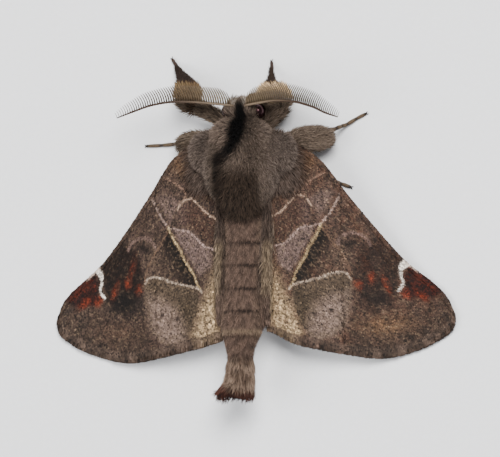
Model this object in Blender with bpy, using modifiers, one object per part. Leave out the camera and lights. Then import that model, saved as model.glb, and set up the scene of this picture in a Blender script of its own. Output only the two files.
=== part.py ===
"""A moth at rest, life size, as a still museum model, for Blender 4.5.

The moth stands on the floor at z = 0 and looks along -Y, with +X on its own left and +Z up.
The origin is on the floor, under the middle of its outline.
"""

import math
import random

import bmesh
import bpy
from mathutils import Matrix, Vector

MM = 0.001
GAP = 0.25 * MM

# Wings: one thickness, and the height of the forewing's middle at each distance from the body
WING_THICKNESS = 0.5 * MM
WING_PROFILE = ((1.0, 2.8), (2.5, 2.74), (4.0, 2.6), (5.7, 2.3), (7.5, 1.76), (9.5, 1.14), (11.4, 0.66),
                (13.2, 0.25), (16.0, 0.1))
WING_DROOP_FROM = 4.0 * MM
WING_DROOP = 16.0
HIND_DROP = 0.88 * MM
RIGHT_SWEEP = math.radians(1.6)
SWEEP_PIVOT = Vector((3.2 * MM, -4.6 * MM))

# Plan of the left forewing, in millimetres, from its root round the tip
FORE_COSTA = ((2.6, -6.3), (4.2, -6.0), (5.6, -5.04), (6.45, -4.0), (7.43, -2.59), (8.94, -0.62),
              (10.47, 1.27), (11.77, 2.68), (13.17, 3.8), (14.38, 5.03), (15.0, 6.2))
FORE_OUTER = ((15.0, 6.2), (14.65, 7.45), (13.17, 8.5), (10.58, 9.3), (9.02, 9.4), (6.39, 8.95),
              (4.8, 8.6), (3.21, 8.23), (2.1, 7.85))
FORE_INNER = ((1.9, -3.6), (1.9, -1.2), (2.0, 1.5), (2.05, 4.5), (2.1, 7.85))

# Plan of the left hindwing, which lies under the forewing
HIND_COSTA = ((2.2, -3.9), (4.4, -2.9), (6.8, -0.4), (8.6, 2.6))
HIND_OUTER = ((8.6, 2.6), (9.0, 5.2), (7.6, 7.4), (5.0, 7.8), (2.6, 7.0))
HIND_INNER = ((1.5, -2.4), (1.5, 1.0), (1.6, 4.2), (2.6, 7.0))

# Veins of a wing: how far from the front edge each runs, and how far out it begins
FORE_VEINS = ((0.1, 0.0), (0.22, 0.25), (0.34, 0.45), (0.46, 0.45), (0.58, 0.45), (0.7, 0.35), (0.81, 0.25),
              (0.92, 0.0))
HIND_VEINS = ((0.15, 0.0), (0.4, 0.35), (0.62, 0.35), (0.85, 0.0))
VEIN_HEIGHT = 0.14 * MM
VEIN_HALF_WIDTH = 0.018

# Coat: sizes of one lock as (length, width, thickness), in millimetres
BACK_LOCK = (2.0, 1.05, 0.5)
CREST_LOCK = (1.5, 0.75, 0.5)
BROW_LOCK = (1.25, 0.6, 0.45)
LEG_LOCK = (1.5, 0.7, 0.45)
TAIL_LOCK = (1.75, 0.95, 0.5)
RAMUS_LENGTH = 1.25
RAMUS_ROOT = 0.25
RAMUS_TIP = 0.1
RAMI = 11
# How far the two rows of rami stand apart in height, how far up both look, and how far they lean along
RAMUS_SPLIT = 0.5
RAMUS_UP = 0.12
RAMUS_LEAN = 0.45
RAMUS_INWARD = 0.34

EYE_ROUGHNESS = 0.2
COAT_ROUGHNESS = 0.85
FLOOR_DEPTH = 5.0 * MM
FLOOR_SIDE = 60.0 * MM

# Right forewing: a little less reach than the left, and its inner rear corner drawn forward
RIGHT_REACH = 0.975
REACH_FROM = 2.0 * MM
CORNER_FROM = Vector((1.9 * MM, 4.5 * MM))
CORNER_SPAN = Vector((2.3 * MM, 3.4 * MM))
CORNER_DRAW = 0.9 * MM

# Body: centres and half sizes in millimetres
THORAX_CENTRE = Vector((0, -4.55, 3.4))
THORAX_HALF = Vector((3.35, 3.75, 2.1))
HEAD_CENTRE = Vector((0, -8.5, 3.0))
HEAD_HALF = Vector((1.3, 1.05, 1.3))
SHOULDER_CENTRE = Vector((2.7, -5.6, 3.75))
SHOULDER_HALF = Vector((1.25, 1.6, 0.42))
EYE_CENTRE = Vector((1.2, -8.55, 3.0))
EYE_HALF = Vector((0.66, 0.7, 0.7))
PALP = ((0.45, -8.6, 1.9, 0.3), (0.45, -9.0, 1.45, 0.32), (0.45, -9.45, 1.45, 0.3), (0.42, -9.75, 1.75, 0.25),
        (0.4, -9.85, 2.1, 0.12))
# How far the thorax narrows behind and in front, and how far its back end flattens
EGG_BACK = 0.3
EGG_FRONT = 0.1
EGG_FLAT = 0.2

# Locks of the back: how many stand in each row, and the step between rows
BACK_ROWS = (5, 7, 8, 8, 7, 5)
BACK_FIRST = -0.86
BACK_STEP = 0.28
BACK_TURN = math.radians(70)
CREST_FIRST = -0.9
CREST_STEP = 0.2
CREST_LOCKS = 6
ROOT_DEPTH = 0.42
# Locks of the brow: height round the head and how many in each row
BROW_ROWS = ((0.35, 4), (0.9, 3))
BROW_STEP = math.radians(26)
GOLDEN_TURN = 2.4

# Limbs and abdomen: points of (x, y, z, radius) in millimetres
FEELERS = {
    "left": ((0.4, -8.8, 3.4, 0.25), (0.62, -8.95, 4.2, 0.25), (1.9, -9.1, 4.55, 0.25),
             (3.3, -9.2, 4.75, 0.25), (4.8, -9.2, 4.9, 0.25), (6.3, -8.95, 5.1, 0.24),
             (7.6, -8.5, 5.3, 0.2), (8.7, -8.05, 5.5, 0.12)),
    "right": ((-0.4, -8.8, 3.4, 0.25), (-0.62, -8.95, 4.2, 0.25), (-1.8, -9.15, 4.55, 0.25),
              (-3.1, -9.3, 4.75, 0.25), (-4.5, -9.2, 4.9, 0.25), (-5.9, -8.85, 5.1, 0.24),
              (-7.0, -8.4, 5.3, 0.2), (-7.95, -8.1, 5.5, 0.12)),
}
THIGHS = {
    "fore_left": ((1.0, -7.2, 1.9, 0.55), (2.3, -8.1, 2.0, 0.6), (3.7, -8.8, 2.1, 0.6)),
    "fore_right": ((-0.9, -7.3, 1.8, 0.5), (-1.9, -8.2, 1.9, 0.55), (-2.7, -8.8, 1.95, 0.5)),
    "mid_left": ((2.0, -5.7, 1.8, 0.55), (3.4, -6.35, 1.5, 0.7), (4.75, -6.4, 1.25, 0.8)),
    "mid_right": ((-2.0, -5.7, 1.8, 0.6), (-3.8, -6.55, 1.75, 0.8), (-5.1, -6.75, 1.65, 0.8),
                  (-5.75, -6.9, 1.5, 0.48)),
    "hind_left": ((1.0, -4.2, 1.5, 0.4), (3.0, -3.9, 0.95, 0.4), (4.6, -3.4, 0.75, 0.35)),
    "hind_right": ((-1.0, -4.2, 1.5, 0.4), (-3.0, -4.0, 0.95, 0.4), (-5.0, -3.8, 0.75, 0.35)),
}
SHINS = {
    "fore_left": ((4.45, -9.3, 1.95, 0.65), (4.65, -9.85, 1.72, 0.85), (5.0, -10.6, 1.2, 0.68),
                  (5.55, -11.2, 0.82, 0.45), (6.0, -11.8, 0.48, 0.28), (6.38, -12.3, 0.22, 0.25)),
    "fore_right": ((-2.5, -9.35, 1.9, 0.6), (-1.85, -10.1, 1.6, 0.85), (-1.5, -10.9, 0.95, 0.45),
                   (-1.25, -11.5, 0.45, 0.27), (-1.15, -12.1, 0.22, 0.25)),
    "mid_left": ((5.35, -6.6, 1.1, 0.4), (5.7, -6.4, 0.8, 0.3), (6.2, -6.2, 0.35, 0.25),
                 (7.2, -6.1, 0.22, 0.25), (8.35, -6.05, 0.22, 0.25)),
    "mid_right": ((-6.4, -7.3, 1.15, 0.33), (-6.6, -7.45, 0.85, 0.3), (-6.9, -7.6, 0.35, 0.25),
                  (-7.6, -8.0, 0.22, 0.25), (-8.3, -8.35, 0.22, 0.25)),
    "hind_left": ((5.0, -3.25, 0.7, 0.3), (5.4, -3.1, 0.45, 0.25), (5.9, -2.9, 0.22, 0.25),
                  (6.6, -2.7, 0.22, 0.25)),
    "hind_right": ((-5.4, -3.75, 0.7, 0.3), (-5.8, -3.6, 0.45, 0.25), (-6.3, -3.4, 0.22, 0.25),
                   (-7.15, -3.1, 0.22, 0.25)),
}
# Tufts on the legs: how many locks, how far they stand off, and where along the limb they grow
THIGH_TUFTS = {
    "fore_left": (5, 0.3, 0.3, 0.6),
    "mid_left": (5, 0.3, 0.3, 0.6),
    "mid_right": (9, 0.3, 0.28, 0.56),
}
SHIN_TUFTS = {
    "fore_left": (12, 0.3, 0.05, 0.5),
    "fore_right": (11, 0.35, 0.05, 0.42),
}
SEGMENT_ENDS = (-0.6, 0.9, 2.5, 4.25, 5.8, 7.3, 9.0)
ABDOMEN_START = -2.6
ABDOMEN = ((0, ABDOMEN_START, 2.6, 1.3), (0, -1.0, 2.35, 1.6), (0, 0.9, 2.25, 1.6), (0, 2.6, 2.4, 1.6),
           (0, 4.3, 2.6, 1.58), (0, 6.0, 2.95, 1.56), (0.05, 7.25, 3.3, 1.5), (0.07, 8.0, 3.4, 1.12),
           (0.1, 9.0, 3.45, 1.0))
ABDOMEN_SWELL = 1.03
TAIL = ((0.1, 9.25, 3.45, 0.98), (0.12, 9.9, 3.48, 0.9), (0.14, 10.6, 3.6, 0.92), (0.16, 11.2, 3.8, 1.0))
# Rings of locks on the tail: distance back, radius, height, number of locks and flare
TAIL_RINGS = ((9.6, 0.92, 3.45, 9, 0.1), (10.3, 0.92, 3.55, 11, 0.24), (10.6, 0.55, 3.7, 6, 0.16))
TAIL_MIDDLE = 0.13
TAIL_WAY = Vector((0.06, 1, 0.16))

COLOURS = {
    "thorax": (0.11, 0.095, 0.085), "head": (0.12, 0.1, 0.09), "eye": (0.02, 0.008, 0.008),
    "palp": (0.1, 0.08, 0.07), "antenna": (0.19, 0.13, 0.09), "abdomen": (0.14, 0.105, 0.08),
    "tail": (0.1, 0.075, 0.055), "forewing": (0.13, 0.085, 0.07), "hindwing": (0.2, 0.16, 0.12),
    "thigh": (0.11, 0.09, 0.075), "shin": (0.2, 0.14, 0.08),
}


def clear_scene():
    for old in list(bpy.data.objects):
        bpy.data.objects.remove(old)


def new_collection(name):
    made = bpy.data.collections.new(name)
    bpy.context.scene.collection.children.link(made)
    return made


def new_object(name, mesh, where):
    made = bpy.data.objects.new(name, mesh)
    where.objects.link(made)
    return made


def finish_of(name, colour, roughness):
    made = bpy.data.materials.new(name)
    made.use_nodes = True
    shader = made.node_tree.nodes["Principled BSDF"]
    shader.inputs["Base Color"].default_value = (*colour, 1.0)
    shader.inputs["Roughness"].default_value = roughness
    return made


def write_outwards(shape, mesh):
    """Writes a closed shape to a mesh with its faces outwards."""
    if shape.calc_volume(signed=True) < 0:
        bmesh.ops.reverse_faces(shape, faces=shape.faces)
    shape.to_mesh(mesh)
    shape.free()


def smooth_line(points, count):
    """Catmull-Rom points through the given ones; further numbers of a point, such as a radius, go with it."""
    ends = [2 * Vector(points[0]) - Vector(points[1]), 2 * Vector(points[-1]) - Vector(points[-2])]
    line = [ends[0], *map(Vector, points), ends[1]]
    made = []
    for i in range(count + 1):
        place = i / count * (len(points) - 1)
        k = min(int(place), len(points) - 2)
        u = place - k
        a, b, c, d = line[k:k + 4]
        made.append(0.5 * (2 * b + u * (c - a) + u * u * (2 * a - 5 * b + 4 * c - d)
                           + u ** 3 * (3 * b - a - 3 * c + d)))
    return made


def tube(name, knots, count, where, resolution=2):
    """A closed round tube through knots of (x, y, z, radius), in millimetres."""
    curve = bpy.data.curves.new(name, "CURVE")
    curve.dimensions = "3D"
    curve.bevel_depth = MM
    curve.bevel_resolution = resolution
    curve.use_fill_caps = True
    line = smooth_line(knots, count)
    spline = curve.splines.new("POLY")
    spline.points.add(len(line) - 1)
    for point, knot in zip(spline.points, line):
        point.co = (*(knot.xyz * MM), 1)
        point.radius = knot[3]
    guide = new_object(name + "_line", curve, where)
    bpy.context.view_layer.update()
    mesh = bpy.data.meshes.new_from_object(guide.evaluated_get(bpy.context.evaluated_depsgraph_get()))
    bpy.data.objects.remove(guide)
    shape = bmesh.new()
    shape.from_mesh(mesh)
    bmesh.ops.remove_doubles(shape, verts=shape.verts, dist=0.001 * MM)
    write_outwards(shape, mesh)
    return new_object(name, mesh, where)


def ball(name, centre, half, where, segments=20, rings=12, form=None):
    """A sphere shaped by form(point), if any, then drawn out to half sizes in mm. Its poles lie on Y."""
    mesh = bpy.data.meshes.new(name)
    shape = bmesh.new()
    bmesh.ops.create_uvsphere(shape, u_segments=segments, v_segments=rings, radius=1)
    for vert in shape.verts:
        x, y, z = vert.co
        vert.co = Vector((x, -z, y))
        if form:
            vert.co = form(vert.co)
        vert.co = Vector([(c + h * v) * MM for c, h, v in zip(centre, half, vert.co)])
    write_outwards(shape, mesh)
    return new_object(name, mesh, where)


def lock(root, heading, lean, size, where, shrink=1.0):
    """A flat tapered tuft that grows from root along heading and bends over towards lean."""
    length, width, thickness = (shrink * part * MM for part in size)
    heading = Vector(heading).normalized()
    lean = Vector(lean).normalized()
    across = heading.cross(lean)
    if across.length < 0.05:
        across = heading.orthogonal()
    across.normalize()
    mesh = bpy.data.meshes.new("lock")
    shape = bmesh.new()
    rings = []
    for u, wide, thick in ((0.0, 0.8, 0.9), (0.4, 1.0, 1.0), (0.78, 0.66, 0.7)):
        centre = Vector(root) * MM + length * (u * heading + 0.32 * u * u * lean)
        along_it = (heading + 0.64 * u * lean).normalized()
        up = across.cross(along_it)
        half = (across * width * wide / 2, up * thickness * thick / 2)
        rings.append([shape.verts.new(centre + offset) for offset in (half[0], half[1], -half[0], -half[1])])
    tip = shape.verts.new(Vector(root) * MM + length * (heading + 0.32 * lean))
    shape.faces.new(rings[0])
    for low, high in zip(rings, rings[1:]):
        for k in range(4):
            shape.faces.new((low[k], low[k - 3], high[k - 3], high[k]))
    for k in range(4):
        shape.faces.new((rings[-1][k], rings[-1][k - 3], tip))
    bmesh.ops.triangulate(shape, faces=shape.faces)
    bmesh.ops.recalc_face_normals(shape, faces=shape.faces)
    write_outwards(shape, mesh)
    return new_object("lock", mesh, where)


def spine(root, tip, thick_root, thick_tip, where):
    """A three-sided tapered rod, with sizes in millimetres."""
    mesh = bpy.data.meshes.new("spine")
    shape = bmesh.new()
    run = (Vector(tip) - Vector(root)).normalized()
    side = run.orthogonal().normalized()
    ends = []
    for centre, radius in ((root, thick_root), (tip, thick_tip)):
        ring = []
        for k in range(3):
            turned = side.copy()
            turned.rotate(Matrix.Rotation(k * math.tau / 3, 3, run))
            ring.append(shape.verts.new((Vector(centre) + radius * turned) * MM))
        ends.append(ring)
    shape.faces.new(ends[0])
    shape.faces.new(ends[1])
    for k in range(3):
        shape.faces.new((ends[0][k], ends[0][k - 2], ends[1][k - 2], ends[1][k]))
    bmesh.ops.triangulate(shape, faces=shape.faces)
    bmesh.ops.recalc_face_normals(shape, faces=shape.faces)
    write_outwards(shape, mesh)
    return new_object("spine", mesh, where)


def fuse(core, pieces):
    """Joins small closed pieces to their core and removes them."""
    apply_boolean(core, pieces, "UNION", "MANIFOLD")
    for piece in pieces:
        bpy.data.objects.remove(piece)
    keep_largest(core)


def apply_boolean(target, tools, operation, solver="EXACT"):
    """Joins the tools to the target or cuts it by them, applies that, and leaves the tools."""
    operands = new_collection("operands")
    for tool in tools:
        operands.objects.link(tool)
    step = target.modifiers.new("join", "BOOLEAN")
    step.operation = operation
    step.operand_type = "COLLECTION"
    step.collection = operands
    step.solver = solver
    bpy.context.view_layer.update()
    graph = bpy.context.evaluated_depsgraph_get()
    mesh = bpy.data.meshes.new_from_object(target.evaluated_get(graph))
    target.modifiers.remove(step)
    target.data = mesh
    bpy.data.collections.remove(operands)


def grown(piece, amount, where):
    """A copy of a smooth piece, larger by that amount all round."""
    mesh = piece.data.copy()
    shape = bmesh.new()
    shape.from_mesh(mesh)
    shape.normal_update()
    steps = [v.normal * amount for v in shape.verts]
    for vert, step in zip(shape.verts, steps):
        vert.co += step
    shape.to_mesh(mesh)
    shape.free()
    return new_object(piece.name + "_clear", mesh, where)


def keep_largest(piece):
    """Keeps only the largest closed surface of a piece."""
    shape = bmesh.new()
    shape.from_mesh(piece.data)
    left = set(shape.verts)
    surfaces = []
    while left:
        stack = [left.pop()]
        found = set(stack)
        while stack:
            for edge in stack.pop().link_edges:
                for vert in edge.verts:
                    if vert in left:
                        left.remove(vert)
                        found.add(vert)
                        stack.append(vert)
        surfaces.append(found)

    def reach(verts):
        sides = [[v.co[k] for v in verts] for k in range(3)]
        return math.prod(max(side) - min(side) for side in sides)

    largest = max(surfaces, key=reach)
    spare = [v for v in shape.verts if v not in largest]
    bmesh.ops.delete(shape, geom=spare, context="VERTS")
    shape.to_mesh(piece.data)
    shape.free()


def wing_height(x, y):
    """Height of the forewing's middle over the floor: it falls outwards and droops towards the back."""
    knots = WING_PROFILE
    out = x / MM
    k = max(i for i in range(len(knots) - 1) if i == 0 or knots[i][0] <= out)
    u = min(1.0, max(0.0, (out - knots[k][0]) / (knots[k + 1][0] - knots[k][0])))
    high = (knots[k][1] + u * (knots[k + 1][1] - knots[k][1])) * MM
    back = max(0.0, y - WING_DROOP_FROM)
    return max(high - WING_DROOP * back * back, WING_THICKNESS / 2)


def placed(side, x, y, z):
    """A point of the left wing's plan, turned on to its own side."""
    if side > 0:
        return Vector((x, y, z))
    near = min(1.0, max(0.0, 1 - (x - CORNER_FROM.x) / CORNER_SPAN.x))
    back = min(1.0, max(0.0, (y - CORNER_FROM.y) / CORNER_SPAN.y))
    y -= CORNER_DRAW * near ** 2 * back ** 2
    x = min(x, REACH_FROM + RIGHT_REACH * (x - REACH_FROM))
    spot = Vector((x, y)) - SWEEP_PIVOT
    spot.rotate(Matrix.Rotation(-RIGHT_SWEEP, 2))
    return Vector((-(spot.x + SWEEP_PIVOT.x), spot.y + SWEEP_PIVOT.y, z))


def along(line, share):
    """The point that far along a sampled line, as a share of its points."""
    place = share * (len(line) - 1)
    k = min(int(place), len(line) - 2)
    return line[k].lerp(line[k + 1], place - k)


def membrane(name, side, edges, veins, drop, where, out, thickness):
    """A wing: a sheet stretched between its four edges, raised along its veins and then thickened."""
    front, rim, back = (smooth_line([(x * MM, y * MM) for x, y in edge], 60) for edge in edges)
    columns = [(0.0, 0.0, 0.0)]
    for t, start in veins:
        columns += [(t - VEIN_HALF_WIDTH, 0.0, start), (t, 1.0, start), (t + VEIN_HALF_WIDTH, 0.0, start)]
    columns.append((1.0, 0.0, 0.0))
    grid = []
    for i in range(out + 1):
        s = i / out
        row = []
        for t, ridge, start in columns:
            root = front[0].lerp(back[0], t)
            flat = (along(front, s).lerp(along(back, s), t) + root.lerp(along(rim, t), s)
                    - root.lerp(front[-1].lerp(back[-1], t), s))
            high = max(wing_height(flat.x, flat.y) - drop, thickness / 2)
            if s > start and 0 < i < out:
                high += ridge * VEIN_HEIGHT
            row.append(placed(side, flat.x, flat.y, high))
        grid.append(row)
    mesh = bpy.data.meshes.new(name)
    shape = bmesh.new()
    verts = [[shape.verts.new(p) for p in row] for row in grid]
    for i in range(out):
        for j in range(len(columns) - 1):
            shape.faces.new((verts[i][j], verts[i + 1][j], verts[i + 1][j + 1], verts[i][j + 1]))
    bmesh.ops.triangulate(shape, faces=shape.faces)
    shape.to_mesh(mesh)
    shape.free()
    wing = new_object(name, mesh, where)
    shell = wing.modifiers.new("thickness", "SOLIDIFY")
    shell.thickness = thickness
    shell.offset = 0
    bpy.context.view_layer.update()
    wing.data = bpy.data.meshes.new_from_object(wing.evaluated_get(bpy.context.evaluated_depsgraph_get()))
    wing.modifiers.clear()
    shape = bmesh.new()
    shape.from_mesh(wing.data)
    write_outwards(shape, wing.data)
    return wing


def floor_cutter(where):
    bpy.ops.mesh.primitive_cube_add(size=1, location=(0, 0, -FLOOR_DEPTH / 2))
    block = bpy.context.object
    block.name = "floor_block"
    block.scale = (FLOOR_SIDE, FLOOR_SIDE, FLOOR_DEPTH)
    bpy.ops.object.transform_apply(location=True, scale=True)
    for home in list(block.users_collection):
        home.objects.unlink(block)
    where.objects.link(block)
    return block


def egg(point):
    """Draws a unit ball in towards the tail, where the thorax is narrow."""
    x, y, z = point
    narrow = 1 - EGG_BACK * max(0.0, y) ** 2 - EGG_FRONT * max(0.0, -y) ** 2
    return Vector((x * narrow, y, z * (1 - EGG_FLAT * max(0.0, y))))


def thorax_spot(back, turn):
    """A point on the thorax: back runs from -1 in front to 1 behind, turn from the top to a side."""
    ring = math.sqrt(max(0.0, 1 - back * back))
    unit = Vector((ring * math.sin(turn), back, ring * math.cos(turn)))
    shaped = egg(unit)
    spot = THORAX_CENTRE + Vector([h * v for h, v in zip(THORAX_HALF, shaped)])
    outward = Vector([v / h for h, v in zip(THORAX_HALF, unit)]).normalized()
    return spot, outward


def thorax_coat(where):
    """Rows of broad locks that lie back along the thorax, and a crest along its middle."""
    dice = random.Random(11)
    locks = []
    for row, many in enumerate(BACK_ROWS):
        for k in range(many):
            share = (k - (many - 1) / 2) / ((many - 1) / 2)
            spot, outward = thorax_spot(BACK_FIRST + BACK_STEP * row, BACK_TURN * share)
            heading = Vector((0.25 * share + dice.uniform(-0.1, 0.1), 1.0, 0.0)) + 0.42 * outward
            lean = Vector((0, 0.6, -0.35)) - 0.3 * outward
            root = spot - ROOT_DEPTH * outward
            locks.append(lock(root, heading, lean, BACK_LOCK, where, dice.uniform(0.88, 1.08)))
    for k in range(CREST_LOCKS):
        spot, outward = thorax_spot(CREST_FIRST + CREST_STEP * k, 0.04 * (-1) ** k)
        root = spot - ROOT_DEPTH * outward
        locks.append(lock(root, Vector((0, 0.35, 1)), Vector((0, 1, 0)), CREST_LOCK, where))
    return locks


def brow_coat(where):
    """Short locks over the front of the head."""
    locks = []
    for high, many in BROW_ROWS:
        for k in range(many):
            turn = BROW_STEP * (k - (many - 1) / 2)
            ring = math.cos(high)
            outward = Vector((math.sin(turn) * ring, -math.cos(turn) * ring, math.sin(high)))
            root = HEAD_CENTRE + Vector([h * v for h, v in zip(HEAD_HALF, outward)]) - ROOT_DEPTH * outward
            heading = outward + Vector((0, 0.3, 0.9))
            locks.append(lock(root, heading, Vector((0, -0.6, 0.2)), BROW_LOCK, where))
    return locks


def comb(knots, where):
    """Two rows of rami along a feeler; they lean forward and to its tip, one row above the other."""
    line = smooth_line([knot[:3] for knot in knots[1:]], 60)
    rami = []
    for k in range(RAMI):
        share = (k + 0.6) / (RAMI + 0.3)
        place = line[int(share * 60)]
        run = (line[min(60, int(share * 60) + 1)] - line[max(0, int(share * 60) - 1)]).normalized()
        swell = 0.75 + 0.35 * math.sin(math.pi * min(1.0, share * 1.15))
        length = RAMUS_LENGTH * swell * (1.0 - 0.45 * share ** 3)
        for row in (1, -1):
            lift = RAMUS_SPLIT * row + RAMUS_UP
            forward = Vector((-RAMUS_INWARD * lift, -1, lift)).normalized()
            heading = (forward + RAMUS_LEAN * run).normalized()
            rami.append(spine(place, place + length * heading, RAMUS_ROOT, RAMUS_TIP, where))
    return rami


def tuft(line, size, many, spread, where, seed, ends=(0.1, 0.75)):
    """Locks set round a limb in a loop, leaning along it: line holds knots of (x, y, z, radius)."""
    dice = random.Random(seed)
    fine = smooth_line(line, 60)
    locks = []
    for k in range(many):
        share = ends[0] + (ends[1] - ends[0]) * (k + 0.5) / many
        knot = fine[int(share * 60)]
        run = (fine[min(60, int(share * 60) + 2)].xyz - fine[max(0, int(share * 60) - 2)].xyz).normalized()
        outward = run.orthogonal().normalized()
        outward.rotate(Matrix.Rotation(GOLDEN_TURN * k + dice.uniform(-0.2, 0.2), 3, run))
        root = knot.xyz + (knot[3] - ROOT_DEPTH) * outward
        heading = run + spread * outward
        locks.append(lock(root, heading, run - 0.3 * outward, size, where, dice.uniform(0.85, 1.1)))
    return locks


def segmented(knots):
    """The abdomen's line with a low step at the end of each segment."""
    fine = smooth_line(knots, 120)
    made = []
    for start, end in zip((ABDOMEN_START, *SEGMENT_ENDS), SEGMENT_ENDS):
        for share, swell in ((0.04, 0.93), (0.3, 1.0), (0.92, 1.02)):
            y = start + (end - start) * share
            near = min(fine, key=lambda knot: abs(knot.y - y))
            made.append((near.x, y, near.z, near[3] * swell))
    return made


def tail_coat(where):
    """Locks round the end of the abdomen, the outer ones flaring at their tips."""
    dice = random.Random(23)
    locks = []
    for ring, (y, radius, z, many, flare) in enumerate(TAIL_RINGS):
        for k in range(many):
            turn = math.tau * (k + 0.5 * ring) / many
            outward = Vector((math.cos(turn), 0, math.sin(turn)))
            root = Vector((TAIL_MIDDLE, y, z)) + (radius - ROOT_DEPTH) * outward
            heading = TAIL_WAY + flare * outward
            lean = Vector((0.12, 0.7, 0.2)) + 0.6 * outward
            locks.append(lock(root, heading, lean, TAIL_LOCK, where, dice.uniform(0.85, 1.0)))
    return locks


def body(moth, helpers):
    """Head, eyes, palps, thorax, abdomen and tail; gives the room each leaves free for its neighbours."""
    thorax = ball("thorax", THORAX_CENTRE, THORAX_HALF, moth, 20, 12, egg)
    thorax_room = grown(thorax, GAP, helpers)
    head = ball("head", HEAD_CENTRE, HEAD_HALF, moth, 16, 10)
    head_room = grown(head, GAP, helpers)
    fuse(head, brow_coat(helpers))
    apply_boolean(head, [thorax_room], "DIFFERENCE", "MANIFOLD")
    for side, word in ((1, "left"), (-1, "right")):
        eye = ball("eye_" + word, (side * EYE_CENTRE.x, EYE_CENTRE.y, EYE_CENTRE.z), EYE_HALF, moth, 14, 8)
        apply_boolean(head, [grown(eye, GAP, helpers)], "DIFFERENCE", "MANIFOLD")
        apply_boolean(eye, [thorax_room], "DIFFERENCE")
        keep_largest(head)
        palp = tube("palp_" + word, [(side * x, y, z, radius) for x, y, z, radius in PALP], 6, moth, 2)
        apply_boolean(palp, [head_room], "DIFFERENCE")
        keep_largest(palp)

    abdomen = tube("abdomen", segmented(ABDOMEN), 20, moth, 3)
    swollen = [(*knot[:3], knot[3] * ABDOMEN_SWELL) for knot in ABDOMEN]
    abdomen_room = grown(tube("room", swollen, 14, helpers, 3), GAP, helpers)
    apply_boolean(abdomen, [thorax_room], "DIFFERENCE")
    keep_largest(abdomen)
    tail = tube("tail_tuft", TAIL, 5, moth, 2)
    fuse(tail, tail_coat(helpers))

    shoulders = []
    for side in (1, -1):
        centre = Vector((side * SHOULDER_CENTRE.x, SHOULDER_CENTRE.y, SHOULDER_CENTRE.z))
        shoulders.append(ball("shoulder", centre, SHOULDER_HALF, helpers, 14, 8))
    fuse(thorax, shoulders)
    fuse(thorax, thorax_coat(helpers))
    return thorax_room, head_room, abdomen_room


def wings(moth, thorax_room, abdomen_room, floor):
    """Fore and hind wings of both sides, cut free of the body and flat where they touch the floor."""
    fore_edges = (FORE_COSTA, FORE_OUTER, FORE_INNER)
    hind_edges = (HIND_COSTA, HIND_OUTER, HIND_INNER)
    for side, word in ((1, "left"), (-1, "right")):
        fore = membrane("forewing_" + word, side, fore_edges, FORE_VEINS, 0, moth, 12, WING_THICKNESS)
        hind = membrane("hindwing_" + word, side, hind_edges, HIND_VEINS, HIND_DROP, moth, 8,
                        WING_THICKNESS)
        for wing in (fore, hind):
            for room in (thorax_room, abdomen_room, floor):
                apply_boolean(wing, [room], "DIFFERENCE", "MANIFOLD")
            keep_largest(wing)


def feelers(moth, helpers, head_room):
    for word, knots in FEELERS.items():
        feeler = tube("antenna_" + word, knots, 14, moth, 1)
        fuse(feeler, comb(knots, helpers))
        apply_boolean(feeler, [head_room], "DIFFERENCE")
        keep_largest(feeler)


def legs(moth, helpers, thorax_room, floor):
    """Thighs that meet the thorax and shins whose feet stand flat on the floor, with the tufts they bear."""
    for word, knots in THIGHS.items():
        thigh = tube("thigh_" + word, knots, 6, moth, 2)
        if word in THIGH_TUFTS:
            many, spread, start, end = THIGH_TUFTS[word]
            fuse(thigh, tuft(knots, LEG_LOCK, many, spread, helpers, 5, (start, end)))
        apply_boolean(thigh, [thorax_room], "DIFFERENCE")
        keep_largest(thigh)
    for word, knots in SHINS.items():
        shin = tube("shin_" + word, knots, 9, moth, 2)
        if word in SHIN_TUFTS:
            many, spread, start, end = SHIN_TUFTS[word]
            fuse(shin, tuft(knots, LEG_LOCK, many, spread, helpers, 7, (start, end)))
        apply_boolean(shin, [floor], "DIFFERENCE")
        keep_largest(shin)


def finishes(moth):
    for piece in moth.objects:
        kind = piece.name.split("_")[0]
        roughness = EYE_ROUGHNESS if kind == "eye" else COAT_ROUGHNESS
        piece.data.materials.clear()
        piece.data.materials.append(finish_of(piece.name + "_finish", COLOURS[kind], roughness))
        piece.data.shade_smooth()


def main():
    clear_scene()
    moth = new_collection("moth")
    helpers = new_collection("helpers")
    thorax_room, head_room, abdomen_room = body(moth, helpers)
    floor = floor_cutter(helpers)
    wings(moth, thorax_room, abdomen_room, floor)
    feelers(moth, helpers, head_room)
    legs(moth, helpers, thorax_room, floor)
    finishes(moth)
    for piece in list(helpers.objects):
        bpy.data.objects.remove(piece)


main()
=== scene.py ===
# %% [markdown]
# # A resting moth, life size
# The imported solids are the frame. They say where every part of the moth is, and this lesson dresses them
# with a skin, wing scales, fur, combed feelers and eyes. The moth looks along -Y, and +X is on its own
# left.

# %% Load the frame
import math

import bmesh
import bpy
import numpy as np
from mathutils import Matrix, Vector


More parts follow.
